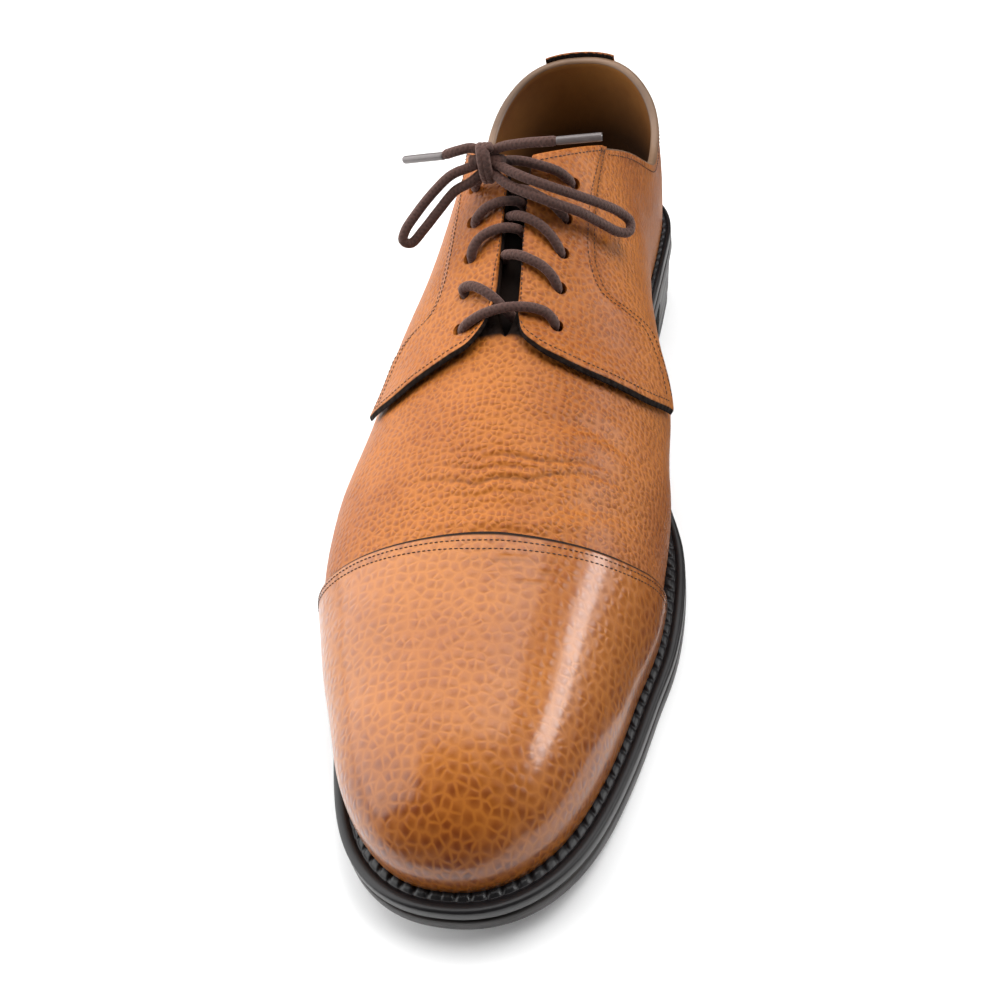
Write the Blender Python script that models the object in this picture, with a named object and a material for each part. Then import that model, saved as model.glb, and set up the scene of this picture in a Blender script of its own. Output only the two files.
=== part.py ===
"""Cap toe derby shoe, the wearer's right one, standing empty on its sole.

Tables and sizes are in millimetres. Along the shoe, "a" is the distance from the back end of the sole;
across it, +x is the medial side. In the world the toe points to -Y and the floor is z = 0.
The upper is one surface made of ribs: each rib is a cubic curve from the feather line, where the upper
meets the welt, up to the ridge of the last. Every panel is cut from that same surface.
"""
import bpy
import bmesh
import numpy as np
from mathutils import Vector

MM = 0.001
LENGTH = 306.0          # back end of the sole to its toe
X_SHIFT = 1.89          # moves the middle of the whole shoe's width to x = 0
SEAM = 0.00002          # distance in metres under which vertices are one

# Sole thicknesses, from the floor contact up
OUTSOLE_T = 5.6
WELT_LOW = 5.9
WELT_TOP = 10.0
WELT_RIM = 0.4          # raised edge outside the welt's stitching
FEATHER_Z = 10.4        # bottom of the upper over the sole's underside
INSOLE_T = 3.0
HEEL_BREAST = 64.0      # front face of the heel
LIFT_T = 6.0

# Leather
WALL = 2.0              # vamp and quarters with their lining
PANEL = 1.3             # toe cap, facings and back strip
PANEL_GAP = 0.45
TONGUE_T = 1.6
TONGUE_GAP = 0.7

LACE_R = 1.5
EYELET_R = 2.0

# Half widths of the sole on each side of the line from heel to toe, and the width of welt left outside
SOLE = (
    # a, medial, lateral, welt
    (0, 33.5, 34.0, 3.2),
    (34, 33.5, 34.0, 3.2),
    (62, 32.5, 34.0, 3.0),
    (92, 30.0, 34.5, 3.0),
    (122, 32.0, 38.0, 3.5),
    (150, 41.0, 45.5, 5.0),
    (175, 49.5, 51.5, 6.5),
    (195, 51.5, 54.5, 7.0),
    (214, 50.8, 54.5, 7.0),
    (235, 46.8, 50.5, 7.0),
    (260, 42.8, 43.8, 7.0),
    (306, 41.8, 40.3, 7.0),
)
TOE_ROUND = (62.0, 2.25)    # length of the rounded end and its exponent
HEEL_ROUND = (36.0, 2.1)
HEEL_WELT = 4.0             # welt behind the heel and before the toe
TOE_WELT = 7.5

# Underside of the outsole: heel seat, arch, tread and toe spring
UNDERSIDE = (
    # a, z
    (0, 25.0),
    (40, 25.0),
    (64, 24.7),
    (92, 18.0),
    (120, 9.6),
    (150, 3.2),
    (170, 0.6),
    (184, 0.0),
    (204, 0.0),
    (226, 0.0),
    (250, 1.2),
    (275, 4.0),
    (306, 9.0),
)

# Last: ridge position, how far a rib bulges past the feather line, how high, and how broad its shoulder is
LAST = (
    # a, ridge x, ridge z, bulge medial, lateral, height of bulge, shoulder medial, lateral
    (0, 0.0, 126.0, 0.12, 0.12, 0.45, 0.98, 0.98),
    (40, 0.0, 126.0, 0.14, 0.14, 0.45, 0.95, 0.95),
    (75, -0.5, 122.0, 0.35, 0.30, 0.45, 0.80, 0.80),
    (100, -1.0, 116.5, 0.76, 0.52, 0.45, 0.65, 0.65),
    (130, -1.0, 101.5, 1.02, 0.86, 0.45, 0.52, 0.52),
    (165, 0.0, 84.0, 0.44, 0.68, 0.50, 0.50, 0.50),
    (190, 1.5, 74.2, 0.22, 0.57, 0.55, 0.52, 0.55),
    (216, 2.0, 64.0, 0.19, 0.46, 0.60, 0.56, 0.58),
    (245, 1.0, 55.6, 0.14, 0.34, 0.62, 0.60, 0.60),
    (272, 0.0, 48.8, 0.14, 0.26, 0.65, 0.60, 0.60),
    (306, 0.0, 38.0, 0.12, 0.14, 0.65, 0.60, 0.60),
)
RIDGE_TOE = 27.0            # the ridge starts this far behind the toe
RIDGE_HEEL = 34.0

# Top line of the collar, side view
COLLAR = (
    # a, z
    (0, 93.0),
    (8, 91.5),
    (20, 85.0),
    (32, 78.5),
    (44, 74.8),
    (54, 76.0),
    (64, 82.8),
    (74, 91.8),
    (85, 100.3),
    (95, 106.3),
    (104, 110.5),
    (116, 114.0),
)
SLIT = 3.2                  # half the gap between the facings
THROAT = 161.0              # front end of the opening in the vamp
THROAT_RUN = 9.0
TONGUE_ENDS = (112.0, 172.0)
TONGUE_HALF = (25.0, 19.0)

# Seam of the toe cap, by height on the rib
CAP_SEAM = (
    # height, a medial, a lateral
    (0.0, 200.0, 218.5),
    (0.25, 207.5, 220.0),
    (0.42, 212.5, 221.0),
    (0.60, 216.0, 221.0),
    (0.80, 218.8, 220.8),
    (1.0, 220.3, 220.3),
)

# Edges of the facings, from the slit round the front corner and up the stitched line at the back
FACING_FRONT = {
    "medial": (
        # run, a, height
        (0.0, 154.0, 0.95),
        (0.08, 161.0, 0.93),
        (0.18, 164.5, 0.87),
        (0.34, 166.2, 0.77),
        (0.56, 165.2, 0.63),
        (0.80, 159.5, 0.44),
        (1.0, 150.5, 0.29),
    ),
    "lateral": (
        (0.0, 153.0, 0.94),
        (0.08, 158.5, 0.915),
        (0.18, 163.5, 0.87),
        (0.34, 166.6, 0.79),
        (0.56, 169.4, 0.68),
        (0.80, 171.0, 0.57),
        (1.0, 169.0, 0.455),
    ),
}
FACING_BACK = {
    "medial": (
        # run, a, height
        (0.0, 150.5, 0.29),
        (0.14, 140.5, 0.35),
        (0.26, 134.2, 0.42),
        (0.38, 134.8, 0.51),
        (0.50, 135.2, 0.595),
        (0.62, 129.0, 0.635),
        (0.80, 110.0, 0.63),
        (1.0, 86.0, 0.61),
    ),
    "lateral": (
        (0.0, 169.0, 0.455),
        (0.14, 159.0, 0.455),
        (0.26, 150.8, 0.49),
        (0.38, 147.8, 0.55),
        (0.50, 146.0, 0.635),
        (0.62, 137.0, 0.665),
        (0.80, 113.0, 0.64),
        (1.0, 86.0, 0.61),
    ),
}
STRIP = (0.022, 0.031)      # half width of the back strip round the heel, at its foot and at the collar
STRIP_RISE = 1.5            # how far it stands over the collar

EYELETS = {
    # a and height on the rib of each eyelet, from the throat up
    "medial": ((155.1, 0.795), (143.5, 0.79), (132.6, 0.785), (121.4, 0.775), (109.8, 0.755)),
    "lateral": ((157.0, 0.815), (145.8, 0.815), (134.8, 0.81), (123.0, 0.795), (111.2, 0.77)),
}
LACE_RISE = 4.3             # centre line of the lace over the vamp's surface
CROSS_RUN = 6.5             # a crossing's middle lies this far behind its eyelets

KNOT = (-9.2, 118.7, 117.0, 4.5)    # centre and radius
LOOPS = {
    # x, a, z along each loop of the bow, out from the knot and back
    "lace_loop_medial": (
        (-4.9, 121.0, 116.3), (2.0, 124.8, 115.2), (9.4, 126.0, 112.6), (17.4, 123.5, 107.5),
        (23.9, 119.2, 101.5), (28.3, 114.6, 95.5), (31.0, 114.0, 91.8), (31.0, 116.5, 90.0),
        (28.5, 119.0, 91.4), (22.4, 123.4, 98.4), (17.4, 127.5, 104.4), (12.1, 129.5, 108.0),
        (5.8, 130.0, 110.6), (-2.4, 127.0, 112.8)),
    "lace_loop_lateral": (
        (-13.8, 120.0, 115.9), (-20.0, 121.8, 114.3), (-26.0, 124.4, 110.0), (-31.5, 128.2, 105.0),
        (-34.8, 131.4, 101.4), (-35.6, 132.8, 98.8), (-33.6, 132.0, 97.4), (-29.8, 129.4, 100.2),
        (-25.0, 126.0, 104.6), (-19.5, 122.6, 109.4), (-14.5, 121.5, 111.6)),
}
ENDS = {
    "lace_end_medial": ((-5.0, 118.1, 120.7), (3.0, 118.8, 122.3), (12.0, 119.4, 123.0)),
    "lace_end_lateral": ((-13.4, 117.3, 120.4), (-18.0, 117.6, 120.2), (-22.0, 117.8, 118.6)),
}
AGLETS = {
    "aglet_medial": ((12.3, 119.4, 123.0), (25.5, 117.2, 122.6)),
    "aglet_lateral": ((-22.4, 117.7, 118.4), (-37.5, 111.0, 113.5)),
}
AGLET_R = 1.25

MATERIALS = {
    # colour, roughness
    "tan leather": ((0.48, 0.19, 0.06), 0.45),
    "burnished leather": ((0.42, 0.14, 0.04), 0.35),
    "lining leather": ((0.42, 0.24, 0.12), 0.7),
    "dark sole": ((0.03, 0.022, 0.02), 0.4),
    "black rubber": ((0.02, 0.02, 0.02), 0.65),
    "brown cord": ((0.09, 0.05, 0.035), 0.8),
    "grey tip": ((0.22, 0.19, 0.17), 0.35),
}


def curve(rows, column):
    """Smooth function through one column of a table, by the first column."""
    xs = np.array([row[0] for row in rows], float)
    ys = np.array([row[column] for row in rows], float)
    slopes = np.gradient(ys, xs)

    def value(x):
        x = np.clip(np.asarray(x, float), xs[0], xs[-1])
        i = np.clip(np.searchsorted(xs, x) - 1, 0, len(xs) - 2)
        step = xs[i + 1] - xs[i]
        t = (x - xs[i]) / step
        low = (1 + 2 * t) * (1 - t) ** 2 * ys[i] + t * (1 - t) ** 2 * step * slopes[i]
        high = t * t * (3 - 2 * t) * ys[i + 1] - t * t * (1 - t) * step * slopes[i + 1]
        return low + high

    return value


MEDIAL, LATERAL, WELT = (curve(SOLE, i) for i in (1, 2, 3))
RIDGE_X, RIDGE_Z, BULGE_M, BULGE_L, BULGE_Z, SHOULDER_M, SHOULDER_L = (curve(LAST, i) for i in range(1, 8))
COLLAR_Z = curve(COLLAR, 1)
underside_curve = curve(UNDERSIDE, 1)


def underside(a):
    return np.maximum(underside_curve(a), 0.0)


def along(q, start, end):
    """Distance a of the point q round an outline, 0 at the heel, 0.5 at the toe, medial side first."""
    share = np.where(q < 0.5, 2 * q, 2 - 2 * q)
    return start + (end - start) * 0.5 * (1 - np.cos(np.pi * share))


def around(a, side):
    """The q at which the feather line passes a on a side."""
    share = np.arccos(np.clip(1 - 2 * (a - HEEL_WELT) / (LENGTH - TOE_WELT - HEEL_WELT), -1, 1)) / np.pi
    return np.where(side == "medial", share / 2, 1 - share / 2)


def plain_plan(q, inward):
    """Outline in plan: the sole's edge where inward is 0, the feather line where it is 1."""
    q = np.mod(q, 1.0)
    start, end = HEEL_WELT * inward, LENGTH - TOE_WELT * inward
    a = along(q, start, end)
    toe_length = TOE_ROUND[0] - 5 * inward
    heel_length = HEEL_ROUND[0] - 3 * inward
    toe = np.clip((a - end + toe_length) / toe_length, 0, 1)
    heel = np.clip((start + heel_length - a) / heel_length, 0, 1)
    rounding = (1 - toe ** TOE_ROUND[1]) ** (1 / TOE_ROUND[1]) * (1 - heel ** HEEL_ROUND[1]) ** (1 / HEEL_ROUND[1])
    half = np.where(q < 0.5, MEDIAL(a), -LATERAL(a)) - np.where(q < 0.5, 1, -1) * WELT(a) * inward
    return half * rounding, a


def plan(q, inward, inset=0.0):
    """Outline in plan, moved inward by an even distance as well."""
    x, a = plain_plan(q, inward)
    x0, a0 = plain_plan(q - 0.002, inward)
    x1, a1 = plain_plan(q + 0.002, inward)
    run = np.hypot(x1 - x0, a1 - a0)
    return x - inset * (a1 - a0) / run, a + inset * (x1 - x0) / run


def last_surface(q, t):
    """Point of the upper's outer face on rib q, at t from the feather line (0) to the ridge (1)."""
    q, t = np.broadcast_arrays(np.asarray(q, float), np.asarray(t, float))
    foot_x, foot_a = plain_plan(q, 1.0)
    foot_z = underside(foot_a) + FEATHER_Z
    medial = 0.5 + 0.5 * np.tanh(foot_x / 14.0)
    back = foot_a - HEEL_WELT
    front = LENGTH - TOE_WELT - foot_a
    top_a = foot_a + np.sqrt(RIDGE_HEEL ** 2 + back ** 2) - back - np.sqrt(RIDGE_TOE ** 2 + front ** 2) + front
    top_x = RIDGE_X(top_a)
    top_z = RIDGE_Z(top_a)
    slope = RIDGE_Z(top_a + 0.5) - RIDGE_Z(top_a - 0.5)
    bulge = 1 + medial * BULGE_M(foot_a) + (1 - medial) * BULGE_L(foot_a)
    shoulder = medial * SHOULDER_M(foot_a) + (1 - medial) * SHOULDER_L(foot_a)
    reach = (1 - t) ** 3 + 3 * (1 - t) ** 2 * t * bulge + 3 * (1 - t) * t * t * shoulder
    x = top_x + (foot_x - top_x) * reach
    a = top_a + (foot_a - top_a) * reach
    bulge_z = foot_z + BULGE_Z(foot_a) * (top_z - foot_z)
    shoulder_z = top_z + slope * (foot_a - top_a) * shoulder
    z = ((1 - t) ** 3 * foot_z + 3 * (1 - t) ** 2 * t * bulge_z
         + 3 * (1 - t) * t * t * shoulder_z + t ** 3 * top_z)
    return np.stack((x, a, z), -1)


def last_normal(q, t):
    t = np.clip(t, 0.001, 0.999)
    across = last_surface(q + 0.0005, t) - last_surface(q - 0.0005, t)
    up = last_surface(q, t + 0.0005) - last_surface(q, t - 0.0005)
    normal = np.cross(across, up)
    return normal / np.linalg.norm(normal, axis=-1, keepdims=True)


def last_offset(q, t, offset):
    """Point off the outer face by a distance, never lower than the welt allows."""
    points = last_surface(q, t) + offset * last_normal(q, t)
    points[..., 2] = np.maximum(points[..., 2], underside(points[..., 1]) + FEATHER_Z)
    return points


def height_where(q, low, high, above):
    """Height t on each rib at which the condition above(point) turns true, by halving."""
    low = np.full(np.shape(q), float(low))
    high = np.full(np.shape(q), float(high))
    for _ in range(30):
        middle = (low + high) / 2
        passed = above(last_surface(q, middle), q)
        high = np.where(passed, middle, high)
        low = np.where(passed, low, middle)
    return high


def from_ridge(point, q):
    ridge = last_surface(q, np.ones(np.shape(q)))
    return np.abs(point[..., 0] - ridge[..., 0])


def edge_height(q, gap, drop):
    """Height of the opening's edge on each rib: the slit in front, the collar behind."""
    slit = height_where(q, 0.5, 1.0, lambda point, rib: from_ridge(point, rib) <= gap)
    collar = height_where(q, 0.15, 1.0, lambda point, rib: point[..., 2] >= COLLAR_Z(point[..., 1]) - drop)
    return -np.log(np.exp(-60 * slit) + np.exp(-60 * collar)) / 60 + 0.001


def upper_top(q):
    """Height of the upper's own edge: closed over the forefoot, open behind the throat."""
    _, a = plain_plan(q, 1.0)
    gap = (SLIT + 1.0) * np.sqrt(np.clip((THROAT - a) / THROAT_RUN, 0, 1))
    return np.where(a > THROAT - 0.3, 1.0, np.minimum(edge_height(q, gap, 1.0), 1.0))


def to_world(points):
    """Millimetres of (x, a, z) to metres in the world."""
    points = np.asarray(points, float)
    return np.stack((points[..., 0] + X_SHIFT, LENGTH / 2 - points[..., 1], points[..., 2]), -1) * MM


def material(name):
    made = bpy.data.materials.get(name)
    if made is None:
        colour, roughness = MATERIALS[name]
        made = bpy.data.materials.new(name)
        made.use_nodes = True
        shader = made.node_tree.nodes["Principled BSDF"]
        shader.inputs["Base Color"].default_value = (*colour, 1.0)
        shader.inputs["Roughness"].default_value = roughness
    return made


def add_object(name, data, finish):
    made = bpy.data.objects.new(name, data)
    bpy.context.collection.objects.link(made)
    if finish:
        data.materials.append(material(finish))
    return made


def grid_mesh(columns, rows):
    """A flat grid whose vertices keep their place u, v from 0 to 1."""
    mesh = bmesh.new()
    bmesh.ops.create_grid(mesh, x_segments=columns, y_segments=rows, size=0.5)
    uv = np.array([(vertex.co.x + 0.5, vertex.co.y + 0.5) for vertex in mesh.verts])
    return mesh, uv[:, 0], uv[:, 1]


def place(mesh, points):
    for vertex, point in zip(mesh.verts, to_world(points)):
        vertex.co = point


def leather(name, finish, columns, rows, rib_place, inner, outer):
    """A panel between two offsets of the last: rib_place gives q and t for each u, v of the grid."""
    return slab(name, finish, columns, rows,
                lambda u, v: last_offset(*rib_place(u, v), inner),
                lambda u, v: last_offset(*rib_place(u, v), outer))


def slab(name, finish, columns, rows, lower, upper):
    """A solid between two grids of points, lower(u, v) and upper(u, v)."""
    mesh, u, v = grid_mesh(columns, rows)
    tops = to_world(upper(u, v))
    layer = mesh.verts.layers.int.new("place")
    for i, vertex in enumerate(mesh.verts):
        vertex[layer] = i
    place(mesh, lower(u, v))
    bmesh.ops.remove_doubles(mesh, verts=mesh.verts, dist=SEAM)
    raised = bmesh.ops.extrude_face_region(mesh, geom=mesh.faces[:])["geom"]
    for vertex in (part for part in raised if isinstance(part, bmesh.types.BMVert)):
        vertex.co = tops[vertex[layer]]
    bmesh.ops.recalc_face_normals(mesh, faces=mesh.faces)
    data = bpy.data.meshes.new(name)
    mesh.to_mesh(data)
    mesh.free()
    return add_object(name, data, finish)


def tube(name, finish, points, radius):
    """A round cord through points."""
    data = bpy.data.curves.new(name, "CURVE")
    data.dimensions = "3D"
    data.bevel_depth = radius * MM
    data.bevel_resolution = 2
    data.use_fill_caps = True
    spline = data.splines.new("POLY")
    spline.points.add(len(points) - 1)
    for target, point in zip(spline.points, to_world(points)):
        target.co = (*point, 1.0)
    return add_object(name, data, finish)


def across_plan(inward, inset, end=1.0):
    """Grid in plan over an outline, from heel to toe and from the lateral edge to the medial one."""
    def points(u, v):
        share = u * end
        medial_x, medial_a = plan(share / 2, inward, inset)
        lateral_x, lateral_a = plan(1 - share / 2, inward, inset)
        return lateral_x + (medial_x - lateral_x) * v, lateral_a + (medial_a - lateral_a) * v
    return points


def plate(name, finish, inward, inset, low, high, columns, rows):
    """A sheet that follows the underside of the sole."""
    outline = across_plan(inward, inset)

    def level(rise):
        def points(u, v):
            x, a = outline(u, v)
            return np.stack((x, a, underside(a) + rise), -1)
        return points

    return slab(name, finish, columns, rows, level(low), level(high))


def build_welt():
    """The ring the upper stands on, with a raised rim outside the stitched channel."""
    lines = ((1.0, 7.0, 0.0), (0.0, 2.5, -0.4), (0.0, 1.7, WELT_RIM), (0.0, 0.0, WELT_RIM))

    def ring(u, v, top):
        points = np.zeros((len(u), 3))
        for row, (inward, inset, rise) in enumerate(lines):
            here = np.rint(v * (len(lines) - 1)) == row
            x, a = plan(u[here], inward, inset)
            points[here] = np.stack((x, a, underside(a) + (WELT_TOP + rise if top else WELT_LOW)), -1)
        return points

    slab("welt", "dark sole", 80, len(lines) - 1,
         lambda u, v: ring(u, v, False), lambda u, v: ring(u, v, True))


def build_heel():
    """Heel block under the seat, drawn in toward its rubber lift, with a hollow breast."""
    end = float(around(HEEL_BREAST, "medial")) * 2

    def layer(inset, height):
        outline = across_plan(0.0, inset, end)

        def points(u, v):
            x, a = outline(u, v)
            hollow = 5.0 * (1 - (2 * v - 1) ** 2) * u ** 3
            a = a - hollow
            z = underside(a) - 0.3 if height is None else np.full(np.shape(u), height)
            return np.stack((x, a, z), -1)
        return points

    slab("heel_stack", "dark sole", 14, 6, layer(2.4, LIFT_T + 0.3), layer(0.8, None))
    slab("heel_lift", "black rubber", 14, 6, layer(3.0, 0.0), layer(2.6, LIFT_T))


def build_sole():
    plate("outsole", "dark sole", 0.0, 0.0, 0.0, OUTSOLE_T, 40, 4)
    build_welt()
    plate("insole", "lining leather", 1.0, 3.0, FEATHER_Z, FEATHER_Z + INSOLE_T, 30, 4)
    build_heel()


def build_upper():
    def wall(u, v):
        return u, upper_top(u) * v

    return leather("upper", "tan leather", 80, 9, wall, -WALL, 0.0)


def build_toe_cap():
    seam = {"medial": curve(CAP_SEAM, 1), "lateral": curve(CAP_SEAM, 2)}

    def rib(u, v):
        t = 0.04 + 0.96 * v
        turn = np.abs(2 * u - 1)
        side = np.where(u < 0.5, "medial", "lateral")
        end = np.where(u < 0.5, seam["medial"](t), seam["lateral"](t))
        toe = LENGTH - TOE_WELT
        a = toe - (toe - end) * (1 - np.cos(np.pi / 2 * turn))
        return around(a, side), t

    leather("toe_cap", "burnished leather", 30, 9, rib, PANEL_GAP, PANEL_GAP + PANEL)


def build_facing(side):
    front = [curve(FACING_FRONT[side], i) for i in (1, 2)]
    back = [curve(FACING_BACK[side], i) for i in (1, 2)]
    corner_a = 111.0
    slit_end = FACING_FRONT[side][0][1]
    back_end = FACING_BACK[side][-1][1]

    def opening(a):
        return a, np.minimum(edge_height(around(a, side), SLIT, 0.0), 0.995)

    def rib(u, v):
        """Coons patch: u from the slit to the outer edge, v from the front edge to the top."""
        slit = opening(slit_end + (corner_a - slit_end) * v)
        top = opening(corner_a + (back_end - corner_a) * u)
        slit_low, slit_high = opening(np.array(slit_end)), opening(np.array(corner_a))
        outer_low = [f(0.0) for f in back]
        outer_high = opening(np.array(back_end))
        found = []
        for i in (0, 1):
            low = front[i](u) + (1 - u) * (slit_low[i] - front[i](0.0))
            outer = back[i](v) + v * (outer_high[i] - back[i](1.0))
            ruled = (1 - v) * low + v * top[i] + (1 - u) * slit[i] + u * outer
            corners = ((1 - u) * (1 - v) * slit_low[i] + u * (1 - v) * outer_low[i]
                       + (1 - u) * v * slit_high[i] + u * v * outer_high[i])
            found.append(ruled - corners)
        return around(found[0], side), found[1]

    return leather("facing_" + side, "tan leather", 14, 16, rib, PANEL_GAP, PANEL_GAP + PANEL)


def build_back_strip():
    def rib(u, v):
        q = (2 * u - 1) * (STRIP[0] + (STRIP[1] - STRIP[0]) * v)
        top = height_where(q, 0.15, 1.0,
                           lambda point, _: point[..., 2] >= COLLAR_Z(point[..., 1]) + STRIP_RISE)
        return q, 0.04 + (top - 0.04) * v

    leather("back_strip", "tan leather", 6, 9, rib, PANEL_GAP, PANEL_GAP + PANEL)


def build_tongue():
    def rib(u, v):
        a = TONGUE_ENDS[0] + (TONGUE_ENDS[1] - TONGUE_ENDS[0]) * u
        half = TONGUE_HALF[0] + (TONGUE_HALF[1] - TONGUE_HALF[0]) * u
        q = around(a, np.where(v < 0.5, "medial", "lateral"))
        edge = height_where(q, 0.3, 1.0, lambda point, rib_q: from_ridge(point, rib_q) <= half)
        return q, edge + (1 - edge) * (1 - np.abs(2 * v - 1))

    leather("tongue", "lining leather", 10, 12, rib, -WALL - TONGUE_GAP - TONGUE_T, -WALL - TONGUE_GAP)


def eyelet(side, i, offset):
    a, t = EYELETS[side][i]
    q = around(np.array(a), side)
    return last_offset(q, np.array(t), offset)


def punch_eyelets(targets):
    """Cut the eyelet holes through the facings and the wall behind them."""
    mesh = bmesh.new()
    for side in EYELETS:
        for i in range(len(EYELETS[side])):
            inner, outer = to_world(eyelet(side, i, -4.0)), to_world(eyelet(side, i, 5.0))
            made = bmesh.ops.create_cone(mesh, cap_ends=True, segments=8, radius1=EYELET_R * MM,
                                         radius2=EYELET_R * MM, depth=9.0 * MM)["verts"]
            axis = Vector(outer - inner)
            bmesh.ops.rotate(mesh, verts=made, matrix=axis.to_track_quat("Z", "Y").to_matrix())
            bmesh.ops.translate(mesh, verts=made, vec=Vector((inner + outer) / 2))
    data = bpy.data.meshes.new("eyelet_punch")
    mesh.to_mesh(data)
    mesh.free()
    punch = add_object("eyelet_punch", data, None)
    punch.hide_render = True
    punch.display_type = "WIRE"
    for target in targets:
        cut = target.modifiers.new("eyelets", "BOOLEAN")
        cut.operation = "DIFFERENCE"
        cut.solver = "EXACT"
        cut.object = punch


def build_lace():
    """Bar at the throat, crossings above it, then the bow."""
    for i in range(5):
        medial, lateral = eyelet("medial", i, LACE_RISE), eyelet("lateral", i, LACE_RISE)
        lean = CROSS_RUN if 0 < i < 4 else 0.0
        rows = []
        for share in np.linspace(0, 1, 9):
            straight = medial + (lateral - medial) * share
            peak = 1 - abs(2 * share - 1)
            a = straight[1] - lean * peak
            crest = float(RIDGE_Z(a)) + LACE_RISE
            arch = np.sin(np.pi * share) ** 0.8
            rows.append((straight[0], a, straight[2] + (crest - straight[2]) * arch))
        tube("lace_bar" if i == 0 else f"lace_crossing_{i}", "brown cord", rows, LACE_R)
    for name, points in {**LOOPS, **ENDS}.items():
        tube(name, "brown cord", points, LACE_R)
    for name, points in AGLETS.items():
        tube(name, "grey tip", points, AGLET_R)
    mesh = bmesh.new()
    x, a, z, radius = KNOT
    bmesh.ops.create_icosphere(mesh, subdivisions=2, radius=radius * MM)
    bmesh.ops.translate(mesh, verts=mesh.verts, vec=to_world((x, a, z)))
    data = bpy.data.meshes.new("lace_knot")
    mesh.to_mesh(data)
    mesh.free()
    add_object("lace_knot", data, "brown cord")


for old in list(bpy.data.objects):
    bpy.data.objects.remove(old)
build_sole()
shell = build_upper()
build_toe_cap()
facings = [build_facing(side) for side in ("medial", "lateral")]
build_back_strip()
build_tongue()
punch_eyelets([shell, *facings])
build_lace()
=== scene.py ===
"""Looks of the cap toe derby shoe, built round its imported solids.

Sizes are in millimetres until to_world() makes them metres. Along the shoe, "a" is the distance from the
back end of the sole; across it, +x is the medial side. The upper is one surface of ribs: q runs round the
feather line from the heel by the medial side to the toe and back, and t climbs each rib from the welt to
the ridge.
"""
from functools import reduce

import bmesh
import bpy
import numpy as np
from mathutils import Matrix, Quaternion, Vector


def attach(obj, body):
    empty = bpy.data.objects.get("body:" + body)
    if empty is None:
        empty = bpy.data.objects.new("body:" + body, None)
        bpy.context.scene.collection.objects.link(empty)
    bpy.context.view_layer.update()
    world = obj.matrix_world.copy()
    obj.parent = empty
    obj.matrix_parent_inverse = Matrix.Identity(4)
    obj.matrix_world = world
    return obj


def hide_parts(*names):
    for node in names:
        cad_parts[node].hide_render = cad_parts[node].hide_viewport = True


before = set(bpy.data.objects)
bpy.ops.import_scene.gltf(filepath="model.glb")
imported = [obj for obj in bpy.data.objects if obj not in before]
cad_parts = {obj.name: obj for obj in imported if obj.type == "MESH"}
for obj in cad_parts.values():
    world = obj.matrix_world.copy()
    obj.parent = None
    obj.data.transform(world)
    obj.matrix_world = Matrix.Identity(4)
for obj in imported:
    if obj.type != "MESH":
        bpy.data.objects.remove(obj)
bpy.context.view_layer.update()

MM = 0.001
LENGTH = 306.0
X_SHIFT = 1.89
MERGE = 0.00001             # metres

# Heights over the underside of the sole
OUTSOLE_T = 5.6
WELT_LOW = 5.9
WELT_TOP = 10.0
FEATHER_Z = 10.4
INSOLE_T = 3.0
HEEL_BREAST = 64.0
LIFT_T = 6.0

# Leather
WALL = 2.0
PANEL = 1.3
PANEL_GAP = 0.45
TONGUE_T = 1.6
TONGUE_GAP = 0.7
LACE_R = 1.5
EYELET_R = 2.0
RIB_HEIGHT = 110.0          # length of a rib beside the collar, roughly

# Edge of the collar, which is rolled as far as the facings
ROLL_FRONT = 84.0
ROLL_FADE = 6.0
ROLL_RISE = 0.7
ROLL_WIDTH = 3.2
ROLL_TOP = 1.1
LINING_ROLL = 0.4
LINING_SHADE_DEPTH = 27.0          # depth at which painted shade makes the lining dark
SHADED_EDGE_FRONT = 97.0            # from here forward the rolled edge takes the dark tongue leather, painted shade beside the tongue

# Throat, where the vamp is painted dark as shade under the facings
SHADE_FRONT = 163.5
SHADE_RUN = 5.0
SHADE_HALF = 14.0
SHADE_SIDE = 6.0
SHADE_BACK = 140.0

SOLE = (
    # a, medial half width, lateral half width, welt
    (0, 33.5, 34.0, 3.2), (34, 33.5, 34.0, 3.2), (62, 32.5, 34.0, 3.0), (92, 30.0, 34.5, 3.0),
    (122, 32.0, 38.0, 3.5), (150, 41.0, 45.5, 5.0), (175, 49.5, 51.5, 6.5), (195, 51.5, 54.5, 7.0),
    (214, 50.8, 54.5, 7.0), (235, 46.8, 50.5, 7.0), (260, 42.8, 43.8, 7.0), (306, 41.8, 40.3, 7.0),
)
TOE_ROUND = (62.0, 2.25)
HEEL_ROUND = (36.0, 2.1)
HEEL_WELT = 4.0
TOE_WELT = 7.5
UNDERSIDE = (
    # a, z
    (0, 25.0), (40, 25.0), (64, 24.7), (92, 18.0), (120, 9.6), (150, 3.2), (170, 0.6), (184, 0.0),
    (204, 0.0), (226, 0.0), (250, 1.2), (275, 4.0), (306, 9.0),
)
LAST = (
    # a, ridge x, ridge z, bulge medial, lateral, height of bulge, shoulder medial, lateral
    (0, 0.0, 126.0, 0.12, 0.12, 0.45, 0.98, 0.98),
    (40, 0.0, 126.0, 0.14, 0.14, 0.45, 0.95, 0.95),
    (75, -0.5, 122.0, 0.35, 0.30, 0.45, 0.80, 0.80),
    (100, -1.0, 116.5, 0.76, 0.52, 0.45, 0.65, 0.65),
    (130, -1.0, 101.5, 1.02, 0.86, 0.45, 0.52, 0.52),
    (165, 0.0, 84.0, 0.44, 0.68, 0.50, 0.50, 0.50),
    (190, 1.5, 74.2, 0.22, 0.57, 0.55, 0.52, 0.55),
    (216, 2.0, 64.0, 0.19, 0.46, 0.60, 0.56, 0.58),
    (245, 1.0, 55.6, 0.14, 0.34, 0.62, 0.60, 0.60),
    (272, 0.0, 48.8, 0.14, 0.26, 0.65, 0.60, 0.60),
    (306, 0.0, 38.0, 0.12, 0.14, 0.65, 0.60, 0.60),
)
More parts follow.
